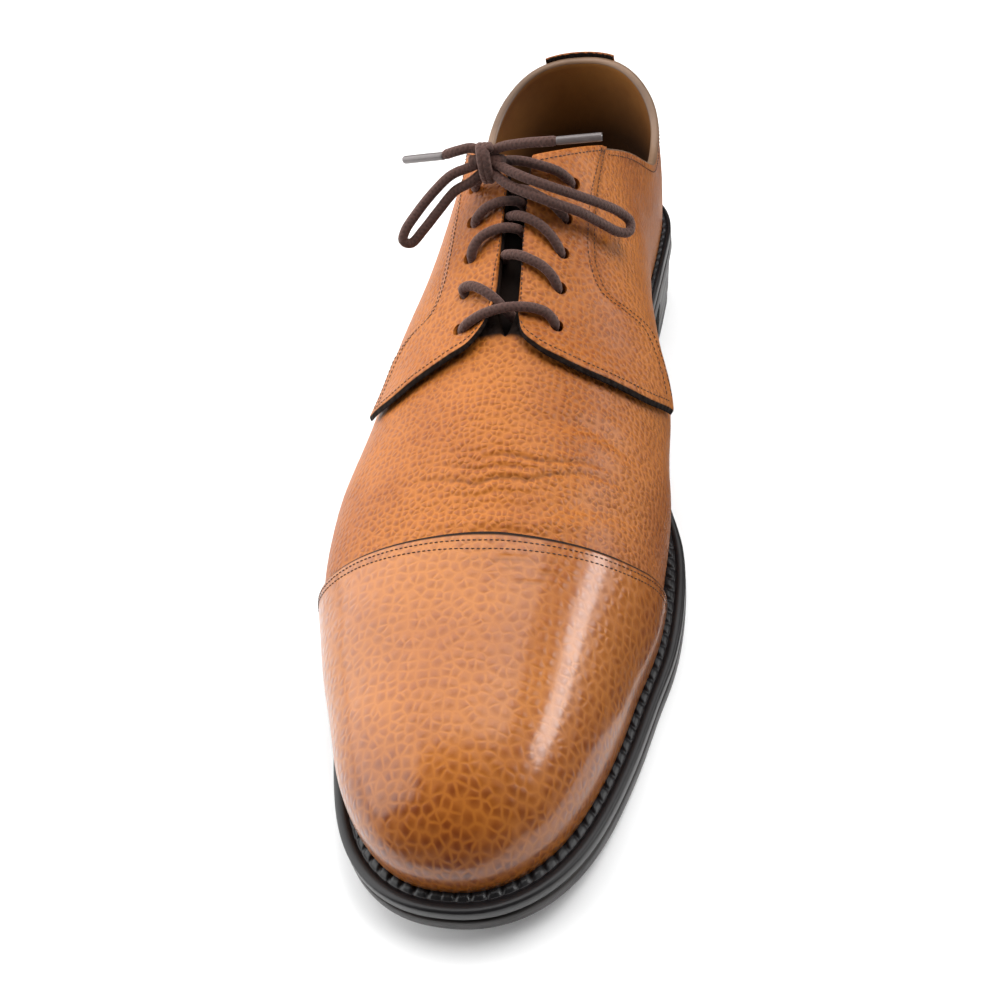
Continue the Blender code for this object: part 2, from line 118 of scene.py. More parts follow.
RIDGE_TOE = 27.0
RIDGE_HEEL = 34.0
COLLAR = (
    # a, z
    (0, 93.0), (8, 91.5), (20, 85.0), (32, 78.5), (44, 74.8), (54, 76.0), (64, 82.8), (74, 91.8),
    (85, 100.3), (95, 106.3), (104, 110.5), (116, 114.0),
)
SLIT = 3.2
THROAT = 161.0
THROAT_RUN = 9.0
TONGUE_ENDS = (112.0, 172.0)
TONGUE_HALF = (25.0, 19.0)
CAP_SEAM = (
    # height, a medial, a lateral
    (0.0, 200.0, 218.5), (0.25, 207.5, 220.0), (0.42, 212.5, 221.0), (0.60, 216.0, 221.0),
    (0.80, 218.8, 220.8), (1.0, 220.3, 220.3),
)
FACING_FRONT = {
    # run, a, height
    "medial": ((0.0, 154.0, 0.95), (0.08, 161.0, 0.93), (0.18, 164.5, 0.87), (0.34, 166.2, 0.77),
               (0.56, 165.2, 0.63), (0.80, 159.5, 0.44), (1.0, 150.5, 0.29)),
    "lateral": ((0.0, 153.0, 0.94), (0.08, 158.5, 0.915), (0.18, 163.5, 0.87), (0.34, 166.6, 0.79),
                (0.56, 169.4, 0.68), (0.80, 171.0, 0.57), (1.0, 169.0, 0.455)),
}
FACING_BACK = {
    # run, a, height
    "medial": ((0.0, 150.5, 0.29), (0.14, 140.5, 0.35), (0.26, 134.2, 0.42), (0.38, 134.8, 0.51),
               (0.50, 135.2, 0.595), (0.62, 129.0, 0.635), (0.80, 110.0, 0.63), (1.0, 86.0, 0.61)),
    "lateral": ((0.0, 169.0, 0.455), (0.14, 159.0, 0.455), (0.26, 150.8, 0.49), (0.38, 147.8, 0.55),
                (0.50, 146.0, 0.635), (0.62, 137.0, 0.665), (0.80, 113.0, 0.64), (1.0, 86.0, 0.61)),
}
FACING_CORNER = 111.0
STRIP = (0.022, 0.031)
STRIP_RISE = 1.5
EYELETS = {
    # a and height on the rib, from the throat up
    "medial": ((155.1, 0.795), (143.5, 0.79), (132.6, 0.785), (121.4, 0.775), (109.8, 0.755)),
    "lateral": ((157.0, 0.815), (145.8, 0.815), (134.8, 0.81), (123.0, 0.795), (111.2, 0.77)),
}
SIDES = ("medial", "lateral")

# Creases of the worn leather: depth, half width, then points x, a. A ridge has a negative depth.
VAMP_CREASES = (
    (0.36, 0.80, ((-27.0, 201.2), (-11.0, 203.7), (-1.6, 204.2), (11.2, 201.9), (23.4, 196.1),
                  (38.0, 189.6))),
    (0.34, 0.70, ((-6.0, 198.2), (7.7, 196.3), (16.8, 195.3), (24.9, 192.2), (34.0, 188.5))),
    (0.26, 0.60, ((-20.0, 197.8), (-9.3, 199.8), (1.8, 200.4), (13.8, 198.4), (23.0, 194.9))),
    (0.15, 0.55, ((-12.0, 194.8), (-2.0, 195.0), (9.0, 193.3))),
    (0.16, 0.60, ((-17.0, 207.6), (-3.0, 208.2), (9.0, 206.8), (18.0, 203.6))),
    (0.55, 2.20, ((10.0, 185.2), (19.8, 182.3), (28.3, 180.4), (33.9, 179.7), (42.0, 178.3))),
    (0.45, 2.40, ((18.0, 208.6), (27.0, 204.5), (35.0, 200.0), (43.0, 195.0))),
    (-0.42, 2.00, ((-22.0, 215.4), (-5.4, 215.9), (5.5, 215.2), (15.8, 213.4), (29.0, 210.0))),
)
CAP_CREASES = (
    (0.30, 0.50, ((-12.0, 226.6), (-3.6, 226.9), (8.0, 225.8), (14.1, 224.3), (26.0, 223.2))),
    (0.30, 0.50, ((3.0, 228.2), (14.6, 227.2), (18.4, 227.4), (26.0, 226.0))),
    (0.22, 0.50, ((8.0, 231.6), (16.0, 230.6), (23.0, 230.4))),
)

# Edges of panels: distance in from the edge, share of the thickness, dark dye
EDGES = {
    "open": ((0.0, 1.0, 0.0),),
    "turned": ((0.0, 0.0, 0.3), (0.0, 0.55, 0.25), (0.12, 0.84, 0.15), (0.35, 0.97, 0.0), (0.75, 1.0, 0.0)),
    "cut": ((0.0, 0.0, 1.0), (0.0, 0.45, 1.0), (0.2, 0.72, 1.0), (0.45, 0.92, 0.55),
            (0.75, 1.0, 0.12), (1.1, 1.0, 0.0)),
    "darkened": ((0.0, 0.0, 1.0), (0.0, 0.12, 1.0), (0.35, 0.40, 1.0), (0.75, 0.66, 1.0), (1.1, 0.85, 0.85),
             (1.35, 0.95, 0.2), (1.7, 1.0, 0.0)),
    "bevelled": ((0.0, 0.0, 0.8), (0.0, 0.12, 0.6), (0.35, 0.40, 0.3), (0.75, 0.66, 0.08), (1.1, 0.85, 0.0),
                 (1.35, 0.95, 0.0), (1.7, 1.0, 0.0)),
}
STITCH_PITCH = 1.55
STITCH_LENGTH = 1.2
STITCH_R = 0.17
CAP_ROWS = (1.35, 2.6)      # distances of the rows from the cap's edge
FACING_ROWS = (
    # edge, distance from it, start and end as shares of the edge
    ("v0", 3.3, 0.07, 0.95), ("u0", 3.5, 0.05, 0.97), ("v1", 2.2, 0.05, 0.99), ("u1", 1.5, 0.05, 0.99),
    ("u1", 4.6, 0.05, 0.99),
)
STRIP_ROW = 1.6
COLLAR_ROW = 2.4
COLLAR_ROW_RISE = 0.40
COLLAR_ROW_ENDS = (6.5, 88.0)

# Lace strands: side, a, height on the rib and rise over the last; or x, a, z
STRANDS = {
    "lace_bar": ((
        ("lateral", 157.0, 0.815, -3.0), ("lateral", 157.5, 0.826, 1.2), ("lateral", 157.3, 0.855, 3.4),
        ("lateral", 155.9, 0.905, 4.1), ("lateral", 154.8, 0.965, 4.4), ("medial", 153.9, 0.965, 4.4),
        ("medial", 153.2, 0.895, 4.1), ("medial", 153.3, 0.84, 3.6), ("medial", 154.7, 0.806, 2.2),
        ("medial", 155.1, 0.795, -3.0)),),
    "lace_crossing_1": (
        (("medial", 143.5, 0.79, -3.0), ("medial", 143.6, 0.799, 1.2), ("medial", 142.2, 0.824, 3.5),
         ("medial", 140.2, 0.864, 4.0), ("medial", 138.9, 0.912, 3.7), ("medial", 137.6, 0.962, 2.6),
         ("lateral", 136.6, 0.975, 0.6), ("lateral", 135.8, 0.935, -3.4), ("lateral", 135.2, 0.90, -4.0)),
        (("lateral", 145.8, 0.815, -3.0), ("lateral", 146.3, 0.818, 1.0), ("lateral", 145.4, 0.823, 3.3),
         ("lateral", 145.9, 0.862, 4.1), ("lateral", 148.2, 0.912, 3.7), ("lateral", 150.8, 0.957, 2.3),
         ("lateral", 152.6, 0.985, 0.4), ("medial", 154.4, 0.955, -3.2), ("medial", 155.2, 0.92, -4.0))),
    "lace_crossing_2": (
        (("medial", 132.6, 0.785, -3.0), ("medial", 132.7, 0.793, 1.2), ("medial", 130.6, 0.832, 3.5),
         ("medial", 128.2, 0.883, 4.0), ("medial", 126.7, 0.932, 3.6), ("medial", 125.4, 0.98, 2.2),
         ("lateral", 124.3, 0.965, -0.6), ("lateral", 123.4, 0.925, -3.6), ("lateral", 122.8, 0.89, -4.0)),
        (("lateral", 134.8, 0.81, -3.0), ("lateral", 135.6, 0.824, 1.2), ("lateral", 134.6, 0.84, 3.5),
         ("lateral", 132.2, 0.865, 4.1), ("lateral", 130.5, 0.912, 3.9), ("lateral", 129.4, 0.966, 2.8),
         ("medial", 128.8, 0.972, 0.4), ("medial", 128.4, 0.93, -3.5), ("medial", 128.0, 0.895, -4.0))),
    "lace_crossing_3": (
        (("medial", 121.4, 0.775, -3.0), ("medial", 121.3, 0.785, 1.2), ("medial", 120.4, 0.84, 3.5),
         ("medial", 119.4, 0.90, 3.8), ("medial", 117.6, 0.955, 2.4), ("lateral", 116.0, 0.975, -0.4),
         ("lateral", 115.0, 0.93, -3.6), ("lateral", 114.4, 0.895, -4.0)),
        (("lateral", 123.0, 0.795, -3.0), ("lateral", 124.2, 0.812, 1.2), ("lateral", 124.2, 0.84, 3.4),
         ("lateral", 122.6, 0.885, 4.1), ("lateral", 121.5, 0.945, 3.6), ("medial", 120.9, 0.985, 1.8),
         ("medial", 120.6, 0.94, -3.0), ("medial", 120.2, 0.90, -4.0))),
    "lace_crossing_4": (
        (("medial", 109.8, 0.755, -3.0), ("medial", 110.0, 0.768, 1.2), ("medial", 110.3, 0.83, 3.8),
         ("medial", 110.5, 0.90, 4.2), (0.1, 115.2, 114.4), (-5.0, 116.8, 115.6), (-9.2, 118.2, 116.2)),
        (("lateral", 111.2, 0.77, -3.0), ("lateral", 111.8, 0.785, 1.2), (-14.8, 116.4, 107.4),
         (-12.4, 118.0, 111.2), (-9.6, 118.7, 114.6))),
}
KNOT = (-9.2, 118.7, 117.0)
LOOPS = {
    # x, a, z along each loop of the bow, out of the knot and back into it
    "lace_loop_medial": (
        (-8.6, 119.4, 117.4), (-4.9, 121.0, 116.3), (2.0, 124.8, 115.2), (9.4, 126.0, 112.6),
        (17.4, 123.5, 107.5), (23.9, 119.2, 101.5), (28.3, 114.6, 95.5), (31.0, 114.0, 91.8),
        (31.0, 116.5, 90.0), (28.5, 119.0, 91.4), (23.0, 122.6, 97.6), (18.4, 125.6, 103.0),
        (12.6, 127.8, 107.2), (5.8, 127.8, 110.4), (-2.0, 125.0, 112.4), (-7.6, 121.0, 114.4)),
    "lace_loop_lateral": (
        (-9.8, 119.2, 117.2), (-13.8, 120.0, 115.9), (-20.0, 121.8, 114.3), (-26.0, 124.4, 110.0),
        (-31.5, 128.2, 105.0), (-34.8, 131.4, 101.4), (-35.6, 132.8, 98.8), (-33.6, 132.0, 97.4),
        (-29.8, 129.4, 100.2), (-25.0, 126.0, 104.6), (-19.5, 122.6, 109.4), (-14.5, 121.5, 111.6),
        (-10.0, 119.6, 114.4)),
}
ENDS = {
    # x, a, z from the knot to the middle of the tip, which hides the cord's end
    "lace_end_medial": ((-9.0, 118.4, 118.4), (-5.0, 118.1, 120.7), (3.0, 118.8, 122.3),
                        (9.0, 119.4, 122.9), (13.6, 119.2, 122.96), (18.9, 118.3, 122.8),
                        (22.9, 117.64, 122.68)),
    "lace_end_lateral": ((-4.6, 119.2, 116.6), (-9.0, 118.2, 118.5), (-13.4, 117.3, 120.4),
                         (-18.0, 117.9, 120.0), (-23.9, 117.0, 117.9), (-29.95, 114.35, 115.95),
                         (-35.2, 112.0, 114.2)),
}
AGLETS = {
    "lace_end_medial": ("aglet_medial", (12.3, 119.4, 123.0), (25.5, 117.2, 122.6)),
    "lace_end_lateral": ("aglet_lateral", (-22.4, 117.7, 118.4), (-37.5, 111.0, 113.5)),
}
AGLET_R = 1.25

# Camera: where the photographer stood, turned to centre the one shoe
CAMERA_AT = (0.0834, -0.2746, 0.2989)
CAMERA_PITCH = 45.1         # degrees down
CAMERA_YAW = -19.38
CAMERA_ROLL = 11.84
CAMERA_LENS = 43.2          # millimetres
SENSOR = 36.0

# Studio, in metres and watts
LIGHTS = (
    # name, place, aim, size, power, turn, lights surfaces, shows as glare
    ("left window", (-0.92, 0.05, 0.56), (0.0, 0.0, 0.05), (1.6, 1.25), 17.5, 0.0, True, True),
    ("overhead", (-0.02, 0.45, 1.20), (-0.02, 0.4501, 0.0), (1.28, 1.2), 14.2, 0.0, True, True),
    ("right strip", (0.95, 0.18, 0.46), (0.0, -0.02, 0.05), (0.80, 0.32), 9.5, -0.36, False, True),
    ("fill", (0.44, 0.05, 1.00), (0.0, 0.0, 0.05), (0.7, 0.7), 8.5, 0.0, True, False),
)
CARDS = {
    "card on the right": ((0.09, -0.17, 0.0), (0.09, 0.30, 0.0), (0.09, 0.30, 0.12), (0.09, -0.17, 0.055)),
    "card beside the sole": ((0.058, -0.08, 0.002), (0.09, -0.10, 0.002), (0.50, 0.80, 0.002),
                             (0.05, 0.80, 0.002)),
    "card in front": ((-0.25, -0.60, 0.002), (0.30, -0.60, 0.002), (0.30, -0.19, 0.002),
                      (-0.25, -0.19, 0.002)),
}
FLOOR_WHITE = (0.85, 0.85, 0.85, 1.0)
FLOOR_FADE = (0.40, 0.75)   # from here to there the floor gives way to the white wall
WALL_WHITE = (0.97, 0.98, 1.0, 1.0)
WALL_LIGHT = 0.07           # strength of the wall as a light; the camera sees it at 1


def curve(rows, column):
    """Smooth function through one column of a table, by the first column."""
    xs = np.array([row[0] for row in rows], float)
    ys = np.array([row[column] for row in rows], float)
    slopes = np.gradient(ys, xs)

    def value(x):
        x = np.clip(np.asarray(x, float), xs[0], xs[-1])
        i = np.clip(np.searchsorted(xs, x) - 1, 0, len(xs) - 2)
        step = xs[i + 1] - xs[i]
        t = (x - xs[i]) / step
        low = (1 + 2 * t) * (1 - t) ** 2 * ys[i] + t * (1 - t) ** 2 * step * slopes[i]
        high = t * t * (3 - 2 * t) * ys[i + 1] - t * t * (1 - t) * step * slopes[i + 1]
        return low + high

    return value


MEDIAL, LATERAL, WELT = (curve(SOLE, i) for i in (1, 2, 3))
RIDGE_X, RIDGE_Z, BULGE_M, BULGE_L, BULGE_Z, SHOULDER_M, SHOULDER_L = (curve(LAST, i) for i in range(1, 8))
COLLAR_Z = curve(COLLAR, 1)
CAP_MEDIAL, CAP_LATERAL = curve(CAP_SEAM, 1), curve(CAP_SEAM, 2)
underside_curve = curve(UNDERSIDE, 1)


def underside(a):
    return np.maximum(underside_curve(a), 0.0)


def along(q, start, end):
    """Distance a of the point q round an outline, 0 at the heel, 0.5 at the toe, medial side first."""
    share = np.where(q < 0.5, 2 * q, 2 - 2 * q)
    return start + (end - start) * 0.5 * (1 - np.cos(np.pi * share))


def around(a, side):
    """The q at which the feather line passes a on a side."""
    share = np.arccos(np.clip(1 - 2 * (a - HEEL_WELT) / (LENGTH - TOE_WELT - HEEL_WELT), -1, 1)) / np.pi
    return np.where(np.asarray(side) == "medial", share / 2, 1 - share / 2)


def plain_plan(q, inward):
    """Outline in plan: the sole's edge where inward is 0, the feather line where it is 1."""
    q = np.mod(q, 1.0)
    start, end = HEEL_WELT * inward, LENGTH - TOE_WELT * inward
    a = along(q, start, end)
    toe_length = TOE_ROUND[0] - 5 * inward
    heel_length = HEEL_ROUND[0] - 3 * inward
    toe = np.clip((a - end + toe_length) / toe_length, 0, 1)
    heel = np.clip((start + heel_length - a) / heel_length, 0, 1)
    round_toe = (1 - toe ** TOE_ROUND[1]) ** (1 / TOE_ROUND[1])
    round_heel = (1 - heel ** HEEL_ROUND[1]) ** (1 / HEEL_ROUND[1])
    half = np.where(q < 0.5, MEDIAL(a), -LATERAL(a)) - np.where(q < 0.5, 1, -1) * WELT(a) * inward
    return half * (round_toe * round_heel), a


def plan(q, inward, inset=0.0):
    """Outline in plan, moved inward by an even distance as well."""
    x, a = plain_plan(q, inward)
    x0, a0 = plain_plan(q - 0.002, inward)
    x1, a1 = plain_plan(q + 0.002, inward)
    run = np.hypot(x1 - x0, a1 - a0)
    return x - inset * (a1 - a0) / run, a + inset * (x1 - x0) / run


def last_surface(q, t):
    """Point of the upper's outer face on rib q, at t from the feather line (0) to the ridge (1)."""
    q, t = np.broadcast_arrays(np.asarray(q, float), np.asarray(t, float))
    foot_x, foot_a = plain_plan(q, 1.0)
    foot_z = underside(foot_a) + FEATHER_Z
    medial = 0.5 + 0.5 * np.tanh(foot_x / 14.0)
    back = foot_a - HEEL_WELT
    front = LENGTH - TOE_WELT - foot_a
    top_a = (foot_a + np.sqrt(RIDGE_HEEL ** 2 + back ** 2) - back
             - np.sqrt(RIDGE_TOE ** 2 + front ** 2) + front)
    top_x = RIDGE_X(top_a)
    top_z = RIDGE_Z(top_a)
    slope = RIDGE_Z(top_a + 0.5) - RIDGE_Z(top_a - 0.5)
    bulge = 1 + medial * BULGE_M(foot_a) + (1 - medial) * BULGE_L(foot_a)
    shoulder = medial * SHOULDER_M(foot_a) + (1 - medial) * SHOULDER_L(foot_a)
    reach = (1 - t) ** 3 + 3 * (1 - t) ** 2 * t * bulge + 3 * (1 - t) * t * t * shoulder
    x = top_x + (foot_x - top_x) * reach
    a = top_a + (foot_a - top_a) * reach
    bulge_z = foot_z + BULGE_Z(foot_a) * (top_z - foot_z)
    shoulder_z = top_z + slope * (foot_a - top_a) * shoulder
    z = ((1 - t) ** 3 * foot_z + 3 * (1 - t) ** 2 * t * bulge_z
         + 3 * (1 - t) * t * t * shoulder_z + t ** 3 * top_z)
    return np.stack((x, a, z), -1)


def last_normal(q, t):
    t = np.clip(t, 0.001, 0.999)
    across = last_surface(q + 0.0005, t) - last_surface(q - 0.0005, t)
    up = last_surface(q, t + 0.0005) - last_surface(q, t - 0.0005)
    normal = np.cross(across, up)
    return normal / np.linalg.norm(normal, axis=-1, keepdims=True)


def last_offset(q, t, offset):
    """Point off the outer face by a distance, or by one distance for each point, never below the welt."""
    points = last_surface(q, t) + np.asarray(offset, float)[..., None] * last_normal(q, t)
    points[..., 2] = np.maximum(points[..., 2], underside(points[..., 1]) + FEATHER_Z)
    return points


def height_where(q, low, high, above):
    """Height t on each rib at which the condition above(point) turns true, by halving."""
    low = np.full(np.shape(q), float(low))
    high = np.full(np.shape(q), float(high))
    for _ in range(30):
        middle = (low + high) / 2
        passed = above(last_surface(q, middle), q)
        high = np.where(passed, middle, high)
        low = np.where(passed, low, middle)
    return high


def from_ridge(point, q):
    ridge = last_surface(q, np.ones(np.shape(q)))
    return np.abs(point[..., 0] - ridge[..., 0])


def edge_height(q, gap, drop):
    """Height of the opening's edge on each rib: the slit in front, the collar behind."""
    slit = height_where(q, 0.5, 1.0, lambda point, rib: from_ridge(point, rib) <= gap)
    collar = height_where(q, 0.15, 1.0, lambda point, rib: point[..., 2] >= COLLAR_Z(point[..., 1]) - drop)
    return -np.log(np.exp(-60 * slit) + np.exp(-60 * collar)) / 60 + 0.001


def upper_top(q):
    """Height of the upper's own edge: closed over the forefoot, open behind the throat."""
    _, a = plain_plan(q, 1.0)
    gap = (SLIT + 1.0) * np.sqrt(np.clip((THROAT - a) / THROAT_RUN, 0, 1))
    return np.where(a > THROAT - 0.3, 1.0, np.minimum(edge_height(q, gap, 1.0), 1.0))


def to_world(points):
    """Millimetres of (x, a, z) to metres in the world."""
    points = np.asarray(points, float)
    return np.stack((points[..., 0] + X_SHIFT, LENGTH / 2 - points[..., 1], points[..., 2]), -1) * MM


def ridge_run(a):
    """Length along the ridge up to a."""
    at = np.linspace(0.0, LENGTH, 613)
    run = np.concatenate(([0.0], np.cumsum(np.hypot(np.diff(at), np.diff(RIDGE_Z(at))))))
    return np.interp(a, at, run)


def rib_lengths():
    """Distance down the rib from the ridge, for ribs q and heights t that are evenly spaced."""
    q, t = np.meshgrid(np.linspace(0.0, 1.0, 481), np.linspace(0.0, 1.0, 97), indexing="ij")
    points = last_surface(q, t)
    steps = np.linalg.norm(np.diff(points, axis=1), axis=2)
    below = np.cumsum(steps[:, ::-1], axis=1)[:, ::-1]
    return np.concatenate((below, np.zeros((481, 1))), 1)


RIB_LENGTHS = rib_lengths()
SPREAD = 0.1                # how far the grain opens out to each side, so that it stays round on the toe


def leather_place(q, t):
    """Place of points in flat leather, in millimetres: each rib is laid straight out from the ridge."""
    q, t = np.broadcast_arrays(np.mod(q, 1.0), np.clip(t, 0, 1))
    row, column = q * 480.0, t * 96.0
    i, j = np.clip(row.astype(int), 0, 479), np.clip(column.astype(int), 0, 95)
    f, g = row - i, column - j
    down = ((1 - f) * (1 - g) * RIB_LENGTHS[i, j] + f * (1 - g) * RIB_LENGTHS[i + 1, j]
            + (1 - f) * g * RIB_LENGTHS[i, j + 1] + f * g * RIB_LENGTHS[i + 1, j + 1])
    down = down * (1 - SPREAD * np.clip(down / 45.0, 0, 1.5))
    top = last_surface(q, np.ones(q.shape))
    foot_x, foot_a = plain_plan(q, 1.0)
    away = np.stack((foot_x - top[..., 0], foot_a - top[..., 1]), -1)
    away /= np.linalg.norm(away, axis=-1, keepdims=True)
    return np.stack((top[..., 0], ridge_run(top[..., 1])), -1) + down[..., None] * away


def line_distance(x, a, line):
    """Distance in plan of each point from a line of points, and how far along the line it is, 0 to 1."""
    line = np.array(line, float)
    steps = np.diff(line, axis=0)
    sizes = np.hypot(steps[:, 0], steps[:, 1])
    starts = np.concatenate(([0.0], np.cumsum(sizes)))
    best = np.full(np.shape(x), 1e9)
    place = np.zeros(np.shape(x))
    for (x0, a0), (dx, da), size, start in zip(line, steps, sizes, starts):
        s = np.clip(((x - x0) * dx + (a - a0) * da) / size ** 2, 0, 1)
        distance = np.hypot(x - x0 - s * dx, a - a0 - s * da)
        nearer = distance < best
        best = np.where(nearer, distance, best)
        place = np.where(nearer, (start + s * size) / starts[-1], place)
    return best, place


def relief(points, creases):
    """Height of the creases, which fade at their ends, and how deep in one each point is, which is painted
    as shade in its trough.
    """
    x = points[..., 0]
    a = points[..., 1] + 0.45 * np.sin(x / 3.1 + 0.9 * np.sin(x / 6.0)) + 0.16 * np.sin(x / 1.3 + 1.0)
    height = np.zeros(np.shape(x))
    crease_shade = np.zeros(np.shape(x))
    for depth, width, line in creases:
        distance, place = line_distance(x, a, line)
        fade = np.sin(np.pi * place) ** 0.7
        trough = np.exp(-(distance / width) ** 2)
        lip = np.exp(-((distance - 2.2 * width) / (1.2 * width)) ** 2)
        height += depth * fade * (0.4 * lip - trough)
        if 0 < depth and width < 1.0:
            crease_shade = np.maximum(crease_shade, depth * fade * trough)
    return height, crease_shade


def swell(points):
    """Slight unevenness of leather that has been lasted and worn."""
    x, a, z = points[..., 0], points[..., 1], points[..., 2]
    return 0.12 * np.sin(x / 9.0 + z / 13.0) * np.sin(a / 12.0 + 1.0) + 0.07 * np.sin(a / 5.5 + x / 7.0)


def behind_facings(a):
    """1 along the collar, 0 where the facings take over."""
    return np.clip((ROLL_FRONT - a) / ROLL_FADE, 0, 1)


def worn(points, creases=()):
    """Height of worn leather over the last, and the depth of its creases, which the pieces paint as shade.
    """
    height, depth = relief(points, creases)
    return height + swell(points), depth


# Meshes

def grid_faces(rows, columns, around_columns=False):
    """Vertex numbers of the faces of a grid of points stored row by row."""
    steps = columns if around_columns else columns - 1
    r, c = np.meshgrid(np.arange(rows - 1), np.arange(steps), indexing="ij")
    following = (c + 1) % columns
    return np.stack((r * columns + c, r * columns + following,
                     (r + 1) * columns + following, (r + 1) * columns + c), -1).reshape(-1, 4)


def add_piece(name, points, faces, finishes, replaces=(), face_finish=None, shades=None, uv=None):
    """A smooth mesh that rides on the shoe. shades are values per point, of edge dye and painted shade, that
    its material reads as edge.
    """
    data = bpy.data.meshes.new(name)
    data.from_pydata(to_world(np.reshape(points, (-1, 3))).tolist(), [], [list(face) for face in faces])
    for finish in finishes:
        data.materials.append(finish)
    if face_finish is not None:
        data.polygons.foreach_set("material_index", np.asarray(face_finish, np.int32))
    if shades is not None:
        layer = data.attributes.new("edge", "FLOAT", "POINT")
        layer.data.foreach_set("value", np.asarray(shades, np.float32).ravel())
    if uv is not None:
        corners = np.zeros(len(data.loops), np.int32)
        data.loops.foreach_get("vertex_index", corners)
        data.uv_layers.new(name="UVMap").data.foreach_set("uv", np.reshape(uv, (-1, 2))[corners].ravel())
    mesh = bmesh.new()
    mesh.from_mesh(data)
    bmesh.ops.remove_doubles(mesh, verts=mesh.verts, dist=MERGE)
    bmesh.ops.recalc_face_normals(mesh, faces=mesh.faces)
    for face in mesh.faces:
        face.smooth = True
    mesh.to_mesh(data)
    mesh.free()
    piece = bpy.data.objects.new(name, data)
    bpy.context.scene.collection.objects.link(piece)
    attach(piece, "root")
    if replaces:
        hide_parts(*replaces)
    return piece


def join_grids(grids):
    """Points and faces of several grids as one mesh: each grid is (points in rows, goes round)."""
    points, faces, start = [], [], 0
    for grid, goes_round in grids:
        points.append(grid.reshape(-1, 3))
        faces.append(grid_faces(grid.shape[0], grid.shape[1], goes_round) + start)
        start += len(points[-1])
    return np.concatenate(points), np.concatenate(faces)


def run_along(points):
    """Distance along a line of points, at each of them."""
    return np.concatenate(([0.0], np.cumsum(np.linalg.norm(np.diff(points, axis=0), axis=1))))


def points_at(places, run, points):
    """Points of a line at distances along it."""
    return np.stack([np.interp(places, run, points[:, i]) for i in range(3)], -1)


def smooth_line(points, step):
    """Even points along a smooth curve through the given ones."""
    points = np.array(points, float)
    padded = np.concatenate(([2 * points[0] - points[1]], points, [2 * points[-1] - points[-2]]))
    knots = np.concatenate(([0.0], np.cumsum(np.sqrt(np.linalg.norm(np.diff(padded, axis=0), axis=1)))))
    found = []
    for i in range(1, len(padded) - 2):
        k0, k1, k2, k3 = knots[i - 1:i + 3]
        p0, p1, p2, p3 = padded[i - 1:i + 3]
        k = np.linspace(k1, k2, 24, endpoint=False)[:, None]
        a1 = (k1 - k) / (k1 - k0) * p0 + (k - k0) / (k1 - k0) * p1
        a2 = (k2 - k) / (k2 - k1) * p1 + (k - k1) / (k2 - k1) * p2
        a3 = (k3 - k) / (k3 - k2) * p2 + (k - k2) / (k3 - k2) * p3
        b1 = (k2 - k) / (k2 - k0) * a1 + (k - k0) / (k2 - k0) * a2
        b2 = (k3 - k) / (k3 - k1) * a2 + (k - k1) / (k3 - k1) * a3
        found.append((k2 - k) / (k2 - k1) * b1 + (k - k1) / (k2 - k1) * b2)
    return even_line(np.concatenate(found + [points[-1:]]), step)


def even_line(points, step):
    """The same line with points about a step apart."""
    run = run_along(points)
    return points_at(np.linspace(0.0, run[-1], max(3, int(round(run[-1] / step)) + 1)), run, points)


def tube_grid(path, radii, sides=12):
    """Rings of points round a path with its radii, and their place along and round it."""
    tangent = np.gradient(path, axis=0)
    tangent /= np.linalg.norm(tangent, axis=1, keepdims=True)
    normal = np.zeros_like(path)
    first = np.cross(tangent[0], (0.3, 0.2, 1.0))
    normal[0] = first / np.linalg.norm(first)
    for i in range(1, len(path)):
        carried = normal[i - 1] - tangent[i] * (normal[i - 1] @ tangent[i])
        normal[i] = carried / np.linalg.norm(carried)
    binormal = np.cross(tangent, normal)
    turn = np.linspace(0, 2 * np.pi, sides + 1)
    ring = normal[:, None] * np.cos(turn)[None, :, None] + binormal[:, None] * np.sin(turn)[None, :, None]
    uv = np.stack(np.broadcast_arrays(run_along(path)[:, None], (turn / (2 * np.pi))[None]), -1)
    return path[:, None] + ring * np.asarray(radii, float)[:, None, None], uv


def cord_grid(path, radius=LACE_R, slim=0.0):
    """A round cord with blunt ends. Its last part can be slim, where a tip is crimped round it."""
    end = ((0.0, 0.0), (0.05, 0.55), (0.3, 0.88), (0.7, 1.0))
    run = run_along(path)
    inner = run[(run > 1.0) & (run < run[-1] - 1.0)]
    places = np.concatenate(([p for p, _ in end], inner, [run[-1] - p for p, _ in reversed(end)]))
    shares = np.concatenate(([s for _, s in end], np.ones(len(inner)), [s for _, s in reversed(end)]))
    if slim:
        shares = shares * np.interp(run[-1] - places, (slim - 0.4, slim + 0.6), (0.72, 1.0))
    return tube_grid(points_at(places, run, path), radius * shares)


# Materials

def new_material(name):
    made = bpy.data.materials.new(name)
    made.use_nodes = True
    return made, made.node_tree, made.node_tree.nodes["Principled BSDF"]


def add_node(tree, kind, inputs=None, **settings):
    made = tree.nodes.new("ShaderNode" + kind)
    for key, value in settings.items():
        setattr(made, key, value)
    for key, value in (inputs or {}).items():
        if isinstance(value, bpy.types.NodeSocket):
            tree.links.new(value, made.inputs[key])
        else:
            made.inputs[key].default_value = value
    return made


def maths(tree, operation, first, second=0.0):
    return add_node(tree, "Math", {0: first, 1: second}, operation=operation).outputs[0]


def times(tree, *factors):
    return reduce(lambda first, second: maths(tree, "MULTIPLY", first, second), factors)


def plus(tree, *terms):
    return reduce(lambda first, second: maths(tree, "ADD", first, second), terms)


def ramp(tree, value, low, high, to_low=0.0, to_high=1.0):
    """Smooth step of a value from low to high."""
    return add_node(tree, "MapRange", {0: value, 1: low, 2: high, 3: to_low, 4: to_high},
                    interpolation_type="SMOOTHSTEP").outputs[0]


